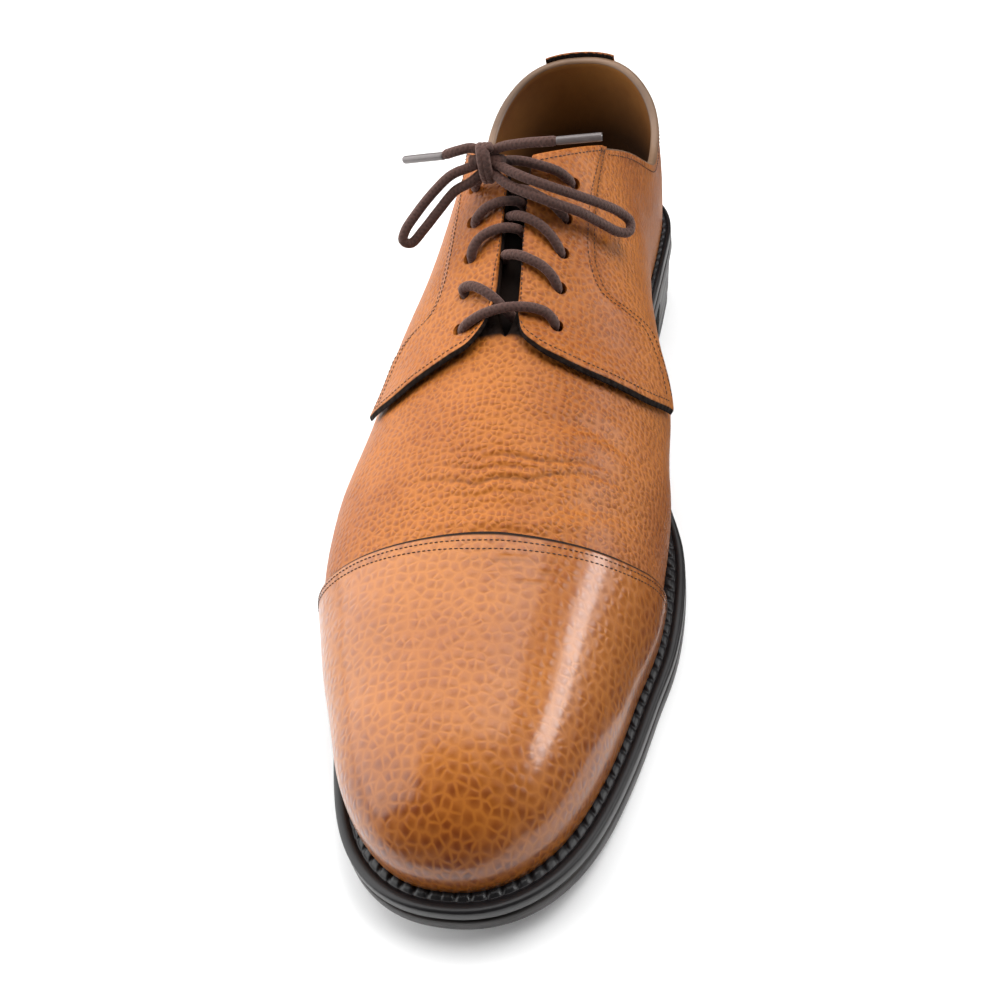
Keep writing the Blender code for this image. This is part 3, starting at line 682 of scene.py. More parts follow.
def mix(tree, factor, first, second):
    made = add_node(tree, "Mix", data_type="RGBA")
    for index, value in ((0, factor), (6, first), (7, second)):
        if isinstance(value, bpy.types.NodeSocket):
            tree.links.new(value, made.inputs[index])
        else:
            made.inputs[index].default_value = value if index == 0 else (*value, 1.0)
    return made.outputs[2]


def noise(tree, place, size, detail=2.0, roughness=0.5):
    """Noise with features of about a size in metres."""
    return add_node(tree, "TexNoise", {"Vector": place, "Scale": 1.0 / size, "Detail": detail,
                                       "Roughness": roughness}).outputs[0]


def stretched(tree, place, factors):
    return add_node(tree, "Mapping", {"Vector": place, "Scale": factors}).outputs[0]


def object_place(tree):
    return add_node(tree, "TexCoord").outputs["Object"]


def set_bump(tree, shader, height, distance):
    bump = add_node(tree, "Bump", {"Height": height, "Distance": distance, "Strength": 1.0})
    tree.links.new(bump.outputs[0], shader.inputs["Normal"])


def dye_and_shade_value(tree):
    """The value that add_piece keeps per point: how far edge dye and painted shade have gone there."""
    return add_node(tree, "Attribute", attribute_name="edge").outputs["Fac"]


def set_values(shader, **values):
    for key, value in values.items():
        shader.inputs[key.replace("_", " ")].default_value = value


# dark of the pebbled leathers' edge dye and painted shade
PEBBLED_DYE_AND_SHADE = (0.012, 0.006, 0.004)
# dark of the plain leathers' edge dye and painted shade
PLAIN_DYE_AND_SHADE = (0.010, 0.005, 0.003)
SPOTS = 0.9                 # strength of the pebbles' colour
RUBBED = (-0.022, -0.096, 0.042)    # metres; a dull dark patch on the cap's lateral side


def leather_material(name, line, pebble, deep, size, height, rough, coat, coat_rough, burnish, folds):
    """Pebbled leather: colour of the lines between pebbles, of the pebbles and of burnished places.

    size is the pitch of the pebbles in millimetres on the flat leather, height their height in metres.
    """
    made, tree, shader = new_material(name)
    place = object_place(tree)
    flat = add_node(tree, "TexCoord").outputs["UV"]
    drift = add_node(tree, "TexNoise", {"Vector": flat, "Scale": 0.9 / size, "Detail": 1.0},
                     noise_dimensions="2D").outputs["Color"]
    bent = add_node(tree, "VectorMath", {0: drift, "Scale": size * 0.32}, operation="SCALE").outputs[0]
    warped = add_node(tree, "VectorMath", {0: flat, 1: bent}, operation="ADD").outputs[0]
    cells = {"Vector": warped, "Scale": 1.0 / size, "Randomness": 0.8}

    def voronoi(feature, **more):
        return add_node(tree, "TexVoronoi", {**cells, **more}, feature=feature, voronoi_dimensions="2D")

    edge = voronoi("DISTANCE_TO_EDGE").outputs["Distance"]
    each = voronoi("F1")
    soft = voronoi("SMOOTH_F1", Smoothness=0.3).outputs["Distance"]
    tint = add_node(tree, "SeparateColor", {0: each.outputs["Color"]}).outputs[0]
    patches = noise(tree, place, 0.030, 3.0)
    blotch = noise(tree, place, 0.009, 3.0)
    dome = plus(tree, ramp(tree, soft, 0.60, 0.02, 0.0, 0.85), ramp(tree, edge, 0.0, 0.22, 0.0, 0.15))
    core = ramp(tree, each.outputs["Distance"], 0.62, 0.08, 0.45, 1.0)
    spot = times(tree, ramp(tree, edge, 0.0, 0.23), core, ramp(tree, tint, 0.0, 1.0, 0.55, 1.0))
    toe = toe_burnish_and_rim_reflection(tree, place)
    polished = times(tree, toe, ramp(tree, blotch, 0.25, 0.6, burnish * 0.55, burnish))
    pebble_there = mix(tree, polished, pebble, deep)
    ground = mix(tree, polished, line, tuple(0.6 * a + 0.4 * b for a, b in zip(line, deep)))
    ground = mix(tree, ramp(tree, patches, 0.35, 0.7, 0.0, 0.45), ground, pebble)
    strength = times(tree, spot, ramp(tree, patches, 0.25, 0.75, SPOTS * 0.75, SPOTS * 1.15))
    # edge dye, and painted shade in creases, at the throat and under panels
    darkened = ramp(tree, dye_and_shade_value(tree), 0.02, 0.6)
    colour = mix(tree, darkened, mix(tree, strength, ground, pebble_there), PEBBLED_DYE_AND_SHADE)
    tree.links.new(colour, shader.inputs["Base Color"])
    fine = noise(tree, place, 0.0007, 3.0, 0.6)
    wrinkle = noise(tree, stretched(tree, flat, (0.10, 0.55, 1.0)), 1.0, 2.0)
    wrinkle = times(tree, wrinkle, worn_vamp(tree, place), folds)
    total = plus(tree, dome, times(tree, fine, 0.18), wrinkle)
    total = times(tree, total, ramp(tree, blotch, 0.3, 0.7, 0.65, 1.15),
                  ramp(tree, toe, 0.0, 1.0, 1.0, 0.55))
    set_bump(tree, shader, total, height)
    gloss = ramp(tree, dome, 0.0, 1.0, rough + 0.10, rough - 0.04)
    tree.links.new(plus(tree, gloss, times(tree, darkened, 0.4)), shader.inputs["Roughness"])
    tree.links.new(ramp(tree, darkened, 0.0, 1.0, coat, 0.0), shader.inputs["Coat Weight"])
    set_values(shader, Coat_Roughness=coat_rough, Specular_IOR_Level=0.26)
    return made


def toe_burnish_and_rim_reflection(tree, place):
    """1 where wax was polished in: at the toe's front and low on the sides, less just over the welt, where
    the lighter rim is a painted reflection of the floor.
    """
    axes = add_node(tree, "SeparateXYZ", {0: place}).outputs
    front = times(tree, ramp(tree, axes["Y"], -0.108, -0.140), ramp(tree, axes["Z"], 0.062, 0.044))
    low = ramp(tree, axes["Z"], 0.052, 0.026)
    polished = maths(tree, "MAXIMUM", front, times(tree, low, 0.8))
    away = add_node(tree, "VectorMath", {0: place, 1: RUBBED}, operation="DISTANCE").outputs["Value"]
    polished = maths(tree, "MAXIMUM", polished, ramp(tree, away, 0.020, 0.004, 0.0, 0.5))
    ahead = maths(tree, "MAXIMUM", maths(tree, "SUBTRACT", -0.073, axes["Y"]), 0.0)
    welt = plus(tree, times(tree, ahead, ahead, 1.4), FEATHER_Z * MM)
    over_welt = maths(tree, "SUBTRACT", axes["Z"], welt)
    # painted reflection: just over the welt the burnish falls to a quarter
    return times(tree, polished, ramp(tree, over_welt, 0.001, 0.010, 0.25, 1.0))


def worn_vamp(tree, place):
    """1 where the foot bends the vamp, most on the medial side."""
    axes = add_node(tree, "SeparateXYZ", {0: place}).outputs
    behind = ramp(tree, axes["Y"], -0.066, -0.054)
    ahead = ramp(tree, axes["Y"], -0.020, -0.034)
    return times(tree, behind, ahead, ramp(tree, axes["X"], -0.036, 0.012))


def plain_leather(name, colour, dark, rough, grain, height, coat=0.0, shine=0.5):
    """Smooth leather with fine pores and uneven colour, dark where its edge value is high: edge dye, and
    painted shade in the lining's depth, at the throat and under panels.
    """
    made, tree, shader = new_material(name)
    place = object_place(tree)
    patches = noise(tree, place, 0.02, 4.0)
    even = mix(tree, ramp(tree, patches, 0.3, 0.7), colour, dark)
    tree.links.new(mix(tree, dye_and_shade_value(tree), even, PLAIN_DYE_AND_SHADE), shader.inputs["Base Color"])
    set_bump(tree, shader, noise(tree, place, grain, 3.0, 0.65), height)
    tree.links.new(ramp(tree, patches, 0.2, 0.8, rough - 0.06, rough + 0.08), shader.inputs["Roughness"])
    set_values(shader, Coat_Weight=coat, Coat_Roughness=0.25, Specular_IOR_Level=shine)
    return made


def edge_material(name, colour, dark, rough, coat):
    """Dressed edge of the sole: dark wax with long streaks."""
    made, tree, shader = new_material(name)
    place = object_place(tree)
    streaks = noise(tree, stretched(tree, place, (0.25, 0.25, 1.6)), 0.004, 3.0)
    tree.links.new(mix(tree, ramp(tree, streaks, 0.35, 0.7), colour, dark), shader.inputs["Base Color"])
    set_bump(tree, shader, plus(tree, streaks, noise(tree, place, 0.0009, 2.0)), 0.00006)
    tree.links.new(ramp(tree, streaks, 0.2, 0.8, rough - 0.05, rough + 0.12), shader.inputs["Roughness"])
    set_values(shader, Coat_Weight=coat, Coat_Roughness=0.2, Specular_IOR_Level=0.3)
    return made


BRAID_PITCH = 1.5
BRAID_STRANDS = 4


def cord_material():
    """Braided waxed cotton: two sets of strands that cross, by the place along and round the cord."""
    made, tree, shader = new_material("lace cord")
    axes = add_node(tree, "SeparateXYZ", {0: add_node(tree, "TexCoord").outputs["UV"]})
    step = times(tree, axes.outputs["X"], 2 * np.pi / BRAID_PITCH)
    turn = times(tree, axes.outputs["Y"], 2 * np.pi * BRAID_STRANDS)
    one = maths(tree, "SINE", plus(tree, step, turn))
    other = maths(tree, "SINE", maths(tree, "SUBTRACT", step, turn))
    braid = maths(tree, "MAXIMUM", one, other)
    fuzz = noise(tree, object_place(tree), 0.0006, 4.0, 0.75)
    shade = plus(tree, times(tree, braid, 0.10), times(tree, fuzz, 0.8))
    tree.links.new(mix(tree, ramp(tree, shade, 0.1, 0.7), (0.028, 0.011, 0.008), (0.082, 0.035, 0.026)),
                   shader.inputs["Base Color"])
    set_bump(tree, shader, plus(tree, times(tree, braid, 0.3), fuzz), 0.00020)
    set_values(shader, Roughness=0.8, Sheen_Weight=0.35, Sheen_Roughness=0.5)
    shader.inputs["Sheen Tint"].default_value = (0.8, 0.5, 0.42, 1.0)
    return made


def plain_material(name, colour, rough, coat=0.0, shine=0.5):
    """Even finish with a slight mottle."""
    made, tree, shader = new_material(name)
    place = object_place(tree)
    mottle = noise(tree, place, 0.0025, 3.0)
    darker = tuple(0.6 * part for part in colour)
    tree.links.new(mix(tree, mottle, colour, darker), shader.inputs["Base Color"])
    set_bump(tree, shader, mottle, 0.00004)
    set_values(shader, Roughness=rough, Coat_Weight=coat, Coat_Roughness=0.2, Specular_IOR_Level=shine)
    return made


TAN = leather_material("tan pebbled leather", line=(0.47, 0.152, 0.023), pebble=(0.255, 0.062, 0.009),
                       deep=(0.13, 0.026, 0.005), size=1.95, height=0.00032, rough=0.46,
                       coat=0.10, coat_rough=0.30, burnish=0.55, folds=0.7)
CAP = leather_material("burnished cap leather", line=(0.46, 0.150, 0.017), pebble=(0.29, 0.075, 0.008),
                       deep=(0.115, 0.017, 0.002), size=2.8, height=0.00021, rough=0.36,
                       coat=0.60, coat_rough=0.18, burnish=1.0, folds=0.0)
LINING = plain_leather("lining leather", (0.34, 0.145, 0.035), (0.25, 0.098, 0.022), 0.62, 0.0007, 0.00005,
                       shine=0.3)
BINDING = plain_leather("collar edge", (0.19, 0.108, 0.060), (0.12, 0.066, 0.036), 0.5, 0.0006, 0.00004,
                        coat=0.1)
# Near-black: the tongue's dark leather, darkened further as painted shade in the throat, and painted shade
# on the slit's rolled edge
TONGUE_DARK_AND_SHADE = plain_leather("dark tongue leather and slit shade", (0.014, 0.008, 0.006), (0.008, 0.005, 0.004), 0.75, 0.0008,
                     0.00005, shine=0.12)
THREAD = plain_material("dark thread", (0.075, 0.032, 0.017), 0.7)
CORD = cord_material()
TIP = plain_material("lace tip", (0.16, 0.135, 0.13), 0.30, 0.3)
WELT_BLACK = plain_material("welt leather", (0.009, 0.008, 0.009), 0.40, 0.12, 0.35)
SOLE_EDGE = edge_material("dressed sole edge", (0.018, 0.012, 0.011), (0.008, 0.0055, 0.005), 0.40, 0.08)
RUBBER = plain_material("heel rubber", (0.014, 0.014, 0.015), 0.6)


# Upper

def spaced_ribs(count, inward, closeness):
    """Ribs round an outline, count to a side and the same on both, and their spacing."""
    q = np.linspace(0.0, 0.5, 4001)
    x, a = plain_plan(q, inward)
    close = closeness(a)
    step = np.hypot(np.diff(x), np.diff(a)) * (close[1:] + close[:-1]) / 2
    run = np.concatenate(([0.0], np.cumsum(step)))
    half = np.interp(np.linspace(0, run[-1], count + 1), run, q)
    return np.concatenate((half, 1.0 - half[-2:0:-1])), run[-1] / count


CREASED = (198.0, 22.0)     # middle and half width of the creased part of the vamp


def where_creased(a):
    """Ribs of the upper lie closest together where the vamp creases."""
    return 1.0 + 3.2 * np.exp(-((a - CREASED[0]) / CREASED[1]) ** 2)


def build_upper():
    """Vamp and quarters with their lining, open at the collar, the slit and underneath."""
    q, _ = spaced_ribs(290, 1.0, where_creased)
    top = upper_top(q)
    _, foot_a = plain_plan(q, 1.0)
    rows = np.linspace(0.0, 1.0, 112)[:, None]
    t = top * rows
    flat = last_surface(q[None] + 0 * t, t)
    height, depth = worn(flat, VAMP_CREASES)
    for side in SIDES:
        for i in range(len(EYELETS[side])):
            centre = eyelet(side, i, 0.0)
            height -= 4.0 * (np.linalg.norm(flat - centre, axis=-1) < EYELET_R + 0.6)
    behind = behind_facings(foot_a)
    rolled = ROLL_RISE * behind * np.exp(-(((1 - rows) * top * RIB_HEIGHT) / ROLL_WIDTH) ** 2)
    outer = last_offset(q[None] + 0 * t, t, height + rolled)
    inner_rows = np.linspace(0.0, 1.0, 26)[:, None]
    inner_t = top * inner_rows
    thicker = LINING_ROLL * behind * np.exp(-((1 - inner_rows) * 20) ** 2)
    inner = last_offset(q[None] + 0 * inner_t, inner_t, -WALL - thicker)
    opened = np.clip((1.0 - top) / 0.02, 0, 1)
    up = outer[-1] - outer[-3]
    up /= np.linalg.norm(up, axis=-1, keepdims=True)
    turn = np.linspace(0, np.pi, 7)[:, None, None]
    middle, reach = (outer[-1] + inner[-1]) / 2, (outer[-1] - inner[-1]) / 2
    roll = middle + reach * np.cos(turn) + up * (opened * ROLL_TOP)[:, None] * np.sin(turn)
    count = len(q)
    parts = (outer, roll, inner)
    points = np.concatenate([part.reshape(-1, 3) for part in parts])
    starts = np.cumsum([0] + [len(part) * count for part in parts])
    faces, finishes = [], []
    for part, start, finish in zip(parts, starts, (0, 2, 1)):
        made = grid_faces(len(part), count, True) + start
        finish_there = np.full(len(made), finish)
        if part is roll:
            # the slit's rolled edge is painted dark as shade
            finish_there[np.tile(foot_a > SHADED_EDGE_FRONT, len(part) - 1)] = 3
            beside = np.tile(opened + np.roll(opened, -1) > 0, len(part) - 1)
            made, finish_there = made[beside], finish_there[beside]
        faces.append(made)
        finishes.append(finish_there)
    columns = np.arange(count)
    following = (columns + 1) % count
    faces.append(np.stack((columns, following, starts[2] + following, starts[2] + columns), -1))
    finishes.append(np.zeros(count, int))
    shades = np.zeros(len(points))
    # painted shade: dark in the creases' troughs and at the throat
    shades[:starts[1]] = np.maximum(0.8 * depth, throat_painted_shade(flat)).ravel()
    # painted shade of the throat on the rolled edge too
    shades[starts[1]:starts[2]] = throat_painted_shade(roll).ravel()
    # painted shade: the lining darkens with depth below the opening's edge
    shades[starts[2]:] = (0.92 * np.clip((1 - inner_rows) * top * RIB_HEIGHT / LINING_SHADE_DEPTH, 0, 1)).ravel()
    roll_place = np.repeat(leather_place(q, top)[None], len(roll), axis=0)
    places = (leather_place(q[None], t), roll_place, leather_place(q[None], inner_t))
    uv = np.concatenate([place.reshape(-1, 2) for place in places])
    add_piece("upper_shell", points, np.concatenate(faces), (TAN, LINING, BINDING, TONGUE_DARK_AND_SHADE),
              ("upper",), np.concatenate(finishes), shades, uv)


def throat_painted_shade(points):
    """Painted shade: dark where the vamp runs under the facings at the throat."""
    ahead = np.clip((SHADE_FRONT - points[..., 1]) / SHADE_RUN, 0, 1)
    beside = np.clip((SHADE_HALF - np.abs(points[..., 0])) / SHADE_SIDE, 0, 1)
    return ahead * ahead * (3 - 2 * ahead) * beside * (points[..., 1] > SHADE_BACK)


def eyelet(side, i, offset):
    a, t = EYELETS[side][i]
    return last_offset(around(np.array(a), side), np.array(t), np.array(offset))


def side_lengths(rib):
    """Lengths in millimetres of a panel's lines: across it by v, and up it by u."""
    share = np.linspace(0.0, 1.0, 41)
    v, u = np.meshgrid(share, share, indexing="ij")
    points = last_surface(*rib(u.ravel(), v.ravel())).reshape(41, 41, 3)
    across = np.linalg.norm(np.diff(points, axis=1), axis=2).sum(1)
    up = np.linalg.norm(np.diff(points, axis=0), axis=2).sum(0)
    return (lambda v: np.interp(v, share, across)), (lambda u: np.interp(u, share, up))


MARGIN = 7.0                # width along a panel's edges in which distances are kept true
EDGE_WIDTH = 2.2            # width of the edges' own steps


def stretch(distance, nominal, actual):
    """Share of a side at a distance along it, true to the millimetre near both ends."""
    actual = np.maximum(actual, 2.2 * MARGIN)
    inside = (distance - MARGIN) / (nominal - 2 * MARGIN) * (1 - 2 * MARGIN / actual) + MARGIN / actual
    near_end = 1 - (nominal - distance) / actual
    inside = np.where(distance > nominal - MARGIN, near_end, inside)
    return np.where(distance < MARGIN, distance / actual, inside)


def graded(nominal, step, start, end):
    """Distances along a panel's side, with the share of the thickness and the dye that its edges give."""
    inner = np.linspace(EDGE_WIDTH, nominal - EDGE_WIDTH, int((nominal - 2 * EDGE_WIDTH) / step))
    plain = np.stack((inner, np.ones(len(inner)), np.zeros(len(inner))), -1)
    first = np.array(EDGES[start])
    last = np.array(EDGES[end])[::-1] * (-1, 1, 1) + (nominal, 0, 0)
    return np.concatenate((first, plain, last)).T


def build_panel(name, rib, step, edges, base, thick, finish, replaces, extra=None, under=None):
    """A leather panel over the last. edges are the kinds at the start and end of u, then of v."""
    across, up = side_lengths(rib)
    wide, tall = float(across(np.linspace(0, 1, 41)).mean()), float(up(np.linspace(0, 1, 41)).mean())
    du, su, dye_u = graded(wide, step, edges[0], edges[1])
    dv, sv, dye_v = graded(tall, step, edges[2], edges[3])
    v0, u0 = np.meshgrid(dv / tall, du / wide, indexing="ij")
    u = np.clip(stretch(du[None], wide, across(v0)), 0, 1)
    v = np.clip(stretch(dv[:, None], tall, up(u0)), 0, 1)
    share = np.minimum(su[None], sv[:, None])
    dye = np.maximum(dye_u[None], dye_v[:, None])
    q, t = (found.reshape(u.shape) for found in rib(u.ravel(), v.ravel()))
    flat = last_surface(q, t)
    raised, thinner = (0.0 * u, 1.0 + 0.0 * u) if under is None else under(flat, u, v)
    # depth of the creases, painted as shade in their troughs
    more, depth = (0.0 * u, 0.0 * u) if extra is None else extra(flat)
    top = last_offset(q, t, base + raised + thick * thinner * share + more * (share > 0.99))
    bottom = last_offset(q, t, base + raised)
    points, faces = join_grids(((top, False), (bottom, False)))
    # the whole underside of the panel is painted dark at 0.6 as the shade beneath it
    shades = np.concatenate((np.maximum(dye, 0.8 * depth).ravel(), np.full(share.size, 0.6)))
    uv = np.tile(leather_place(q, t).reshape(-1, 2), (2, 1))
    return add_piece(name, points, faces, (finish,), replaces, shades=shades, uv=uv)


def cap_rib(u, v):
    """Cap: u from the seam's medial end round the toe to its lateral end, v from the welt to the ridge."""
    turn = np.abs(2 * u - 1)
    end = np.where(u < 0.5, CAP_MEDIAL(v), CAP_LATERAL(v))
    toe = LENGTH - TOE_WELT
    a = toe - (toe - end) * (1 - np.cos(np.pi / 2 * turn))
    return around(a, np.where(u < 0.5, "medial", "lateral")), v


def facing_rib(side):
    """Coons patch: u from the slit to the outer edge, v from the front edge to the top."""
    front = [curve(FACING_FRONT[side], i) for i in (1, 2)]
    back = [curve(FACING_BACK[side], i) for i in (1, 2)]
    slit_end = FACING_FRONT[side][0][1]
    back_end = FACING_BACK[side][-1][1]

    def opening(a):
        return a, np.minimum(edge_height(around(a, side), SLIT, 0.0), 0.995)

    def rib(u, v):
        slit = opening(slit_end + (FACING_CORNER - slit_end) * v)
        top = opening(FACING_CORNER + (back_end - FACING_CORNER) * u)
        slit_low, slit_high = opening(np.array(slit_end)), opening(np.array(FACING_CORNER))
        outer_low = [f(0.0) for f in back]
        outer_high = opening(np.array(back_end))
        found = []
        for i in (0, 1):
            low = front[i](u) + (1 - u) * (slit_low[i] - front[i](0.0))
            outer = back[i](v) + v * (outer_high[i] - back[i](1.0))
            ruled = (1 - v) * low + v * top[i] + (1 - u) * slit[i] + u * outer
            corners = ((1 - u) * (1 - v) * slit_low[i] + u * (1 - v) * outer_low[i]
                       + (1 - u) * v * slit_high[i] + u * v * outer_high[i])
            found.append(ruled - corners)
        return around(found[0], side), found[1]

    return rib


def facing_lift(flat, u, v):
    """The front edge of a facing stands off the vamp, most by the slit; its outer edge is thin and flat."""
    lift = 2.3 * np.exp(-(v / 0.11) ** 2) * (1 - 0.6 * u)
    out = np.clip((u - 0.84) / 0.16, 0, 1)
    flat_out = out * out * (3 - 2 * out) * np.clip((v - 0.25) / 0.3, 0, 1)
    return lift - (PANEL_GAP - 0.12) * flat_out, 1 - 0.75 * flat_out


def strip_rib(u, v):
    q = (2 * u - 1) * (STRIP[0] + (STRIP[1] - STRIP[0]) * v)
    top = height_where(q, 0.15, 1.0, lambda point, _: point[..., 2] >= COLLAR_Z(point[..., 1]) + STRIP_RISE)
    return q, top * v


def tongue_rib(u, v):
    a = TONGUE_ENDS[0] + (TONGUE_ENDS[1] - TONGUE_ENDS[0]) * u
    half = TONGUE_HALF[0] + (TONGUE_HALF[1] - TONGUE_HALF[0]) * u
    q = around(a, np.where(v < 0.5, "medial", "lateral"))
    edge = height_where(q, 0.3, 1.0, lambda point, rib: from_ridge(point, rib) <= half)
    return q, edge + (1 - edge) * (1 - np.abs(2 * v - 1))


def tongue_dent(flat, u, v):
    """The lace presses the tongue down between the facings."""
    return -2.9 * np.exp(-((2 * v - 1) * 22.0 / 10.0) ** 4), 1.0 + 0.0 * u


def punch(pieces):
    """Cut the round eyelets through the facings."""
    mesh = bmesh.new()
    for side in SIDES:
        for i in range(len(EYELETS[side])):
            inner, outer = to_world(eyelet(side, i, -3.0)), to_world(eyelet(side, i, 5.0))
            turned = Vector(outer - inner).to_track_quat("Z", "Y").to_matrix().to_4x4()
            placed = Matrix.Translation((inner + outer) / 2) @ turned
            bmesh.ops.create_cone(mesh, cap_ends=True, segments=28, radius1=EYELET_R * MM,
                                  radius2=EYELET_R * MM, depth=8.0 * MM, matrix=placed)
    data = bpy.data.meshes.new("punch")
    mesh.to_mesh(data)
    mesh.free()
    tool = bpy.data.objects.new("punch", data)
    bpy.context.scene.collection.objects.link(tool)
    for piece in pieces:
        cut = piece.modifiers.new("eyelets", "BOOLEAN")
        cut.operation = "DIFFERENCE"
        cut.solver = "EXACT"
        cut.object = tool
        shown = piece.evaluated_get(bpy.context.evaluated_depsgraph_get())
        cut_mesh = bpy.data.meshes.new_from_object(shown)
        piece.modifiers.clear()
        piece.data = cut_mesh
        cut_mesh.set_sharp_from_angle(angle=0.9)
    bpy.data.objects.remove(tool)


def build_panels():
    build_panel("toe_cap_leather", cap_rib, 0.7, ("cut", "cut", "open", "open"), PANEL_GAP, PANEL, CAP,
                ("toe_cap",), lambda flat: worn(flat, CAP_CREASES))
    facings = []
    for side in SIDES:
        facings.append(build_panel("facing_leather_" + side, facing_rib(side), 0.7,
                                   ("bevelled", "turned", "darkened", "turned"), PANEL_GAP, PANEL,
                                   TAN, ("facing_" + side,), worn, facing_lift))
    punch(facings)
    build_panel("back_strip_leather", strip_rib, 0.8, ("turned", "turned", "open", "turned"), PANEL_GAP,
                PANEL, TAN, ("back_strip",), worn)
    build_panel("tongue_leather", tongue_rib, 1.2, ("turned",) * 4, -WALL - TONGUE_GAP - TONGUE_T, TONGUE_T,
                TONGUE_DARK_AND_SHADE, ("tongue",), None, tongue_dent)


# Stitching

def stitch_line(rib, u, v, lift):
    """Points and normals of a line of stitching on a panel."""
    u, v = np.clip(u, 0, 1), np.clip(v, 0, 1)
    q, t = rib(u, v)
    raised, thinner = (0.0 * u, 1.0) if lift is None else lift(None, u, v)
    height = PANEL_GAP + raised + PANEL * thinner + swell(last_surface(q, t))
    return last_offset(q, t, height), last_normal(q, t)


def stitch_points(points, normals):
    """Rings of points of the stitches along a line. Each is a short arched lump, its ends in the leather."""
    run = run_along(points)
    count = int(run[-1] / STITCH_PITCH)
    centres = (np.arange(count) + 0.5) * run[-1] / count
    shares = np.array((-0.5, -0.42, -0.2, 0.2, 0.42, 0.5))
    radii = np.array((0.0, 0.7, 1.0, 1.0, 0.7, 0.0)) * STITCH_R
    rises = np.array((-0.16, -0.04, 0.10, 0.10, -0.04, -0.16))
    at = centres[:, None] + shares * STITCH_LENGTH
    middle = points_at(at, run, points)
    normal = points_at(at, run, normals)
    tangent = middle[:, 3:4] - middle[:, 2:3]
    side = np.cross(np.broadcast_to(tangent, normal.shape), normal)
    side /= np.linalg.norm(side, axis=-1, keepdims=True)
    middle = middle + normal * rises[:, None]
    turn = np.linspace(0, 2 * np.pi, 7)[:-1]
    ring = side[..., None, :] * np.cos(turn)[:, None] + normal[..., None, :] * np.sin(turn)[:, None]
    return middle[..., None, :] + ring * radii[:, None, None]


def add_stitches(name, lines):
    grids = np.concatenate([stitch_points(points, normals) for points, normals in lines])
    one = grid_faces(6, 6, True)
    faces = (one[None] + 36 * np.arange(len(grids))[:, None, None]).reshape(-1, 4)
    add_piece(name, grids.reshape(-1, 3), faces, (THREAD,))


def edge_line(rib, edge, distance, start=0.0, end=1.0, lift=None):
    """Stitching at a distance from one edge of a panel: u0, u1, v0 or v1."""
    across, up = side_lengths(rib)
    share = np.linspace(start, end, 240)
    if edge[0] == "u":
        inset = distance / across(share)
        return stitch_line(rib, inset if edge == "u0" else 1 - inset, share, lift)
    inset = distance / up(share)
    return stitch_line(rib, share, inset if edge == "v0" else 1 - inset, lift)


def build_stitches():
    add_stitches("stitches_toe_cap", [edge_line(cap_rib, edge, distance, 0.015, 1.0)
                                      for edge in ("u0", "u1") for distance in CAP_ROWS])
    for side in SIDES:
        rib = facing_rib(side)
        lines = [edge_line(rib, *row, lift=facing_lift) for row in FACING_ROWS]
        add_stitches("stitches_facing_" + side, lines)
    lines = [edge_line(strip_rib, edge, STRIP_ROW, 0.02, 0.97) for edge in ("u0", "u1")]
    for side in SIDES:
        a = np.linspace(*COLLAR_ROW_ENDS, 200)
        q = around(a, side)
        t = upper_top(q) - COLLAR_ROW / RIB_HEIGHT
        height = COLLAR_ROW_RISE * behind_facings(a) + swell(last_surface(q, t))
        lines.append((last_offset(q, t, height), last_normal(q, t)))
    add_stitches("stitches_collar", lines)


# Sole

def outline_ring(q, share, height, centre_share):
    """Ring of the sole: share of the way from its edge to the feather line, then to the middle line."""
    edge = np.stack(plan(q, 0.0, 0.0), -1)
    feather = np.stack(plan(q, 1.0, 0.0), -1)
    ring = edge + (feather - edge) * share
    mirrored = np.roll(ring[::-1], 1, axis=0)
    ring = ring + ((ring + mirrored) / 2 - ring) * centre_share
    return np.concatenate((ring, (underside(ring[:, 1]) + height)[:, None]), 1)


def build_layer(name, rows, finish, replaces, count=360):
    """A layer of the sole from rings: share towards the feather line, share to the middle, height."""
    q, _ = spaced_ribs(count, 0.0, np.ones_like)
    rings = np.stack([outline_ring(q, share, height, centre) for share, centre, height in rows])
    points, faces = join_grids(((rings, True),))
    return add_piece(name, points, faces, (finish,), replaces)


LUMP_PITCH = 4.4
LUMP_RISE = 1.15


def build_welt():
    """Welt with wheeled lumps beside the upper and a smooth raised rim at its edge."""
    q, step = spaced_ribs(760, 0.0, np.ones_like)
    run = step * np.minimum(np.arange(len(q)), len(q) - np.arange(len(q)))
    phase = np.mod(run / LUMP_PITCH, 1.0)
    lump = np.clip(1.1 - 1.1 * np.abs(2 * phase - 1) ** 3.2, 0, 1)
    profile = (
        # share towards the feather line, height over the welt's top, height of the lumps there
        (1.55, 0.15, 0.0), (1.12, 0.1, 0.0), (1.0, -0.2, 0.35), (0.93, -0.45, 0.85), (0.84, -0.5, 1.0),
        (0.74, -0.5, 1.0), (0.64, -0.5, 0.95), (0.56, -0.55, 0.7), (0.50, -0.55, 0.2), (0.455, -0.5, 0.0),
        (0.42, -0.15, 0.0), (0.37, 0.25, 0.0), (0.30, 0.42, 0.0), (0.20, 0.42, 0.0), (0.10, 0.32, 0.0),
        (0.035, 0.05, 0.0), (0.0, -0.5, 0.0),
    )
    rings = []
    for share, rise, lumps in profile:
        ring = outline_ring(q, share, WELT_TOP, 0.0)
        ring[:, 2] += rise + lumps * LUMP_RISE * lump
        rings.append(ring)
    for share, height in ((0.0, 8.4), (0.0, 6.7), (0.05, 6.1), (0.14, WELT_LOW), (1.55, WELT_LOW)):
        rings.append(outline_ring(q, share, height, 0.0))
    rings.append(rings[0])
    points, faces = join_grids(((np.stack(rings), True),))
    add_piece("welt_wheeled", points, faces, (WELT_BLACK,), ("welt",))


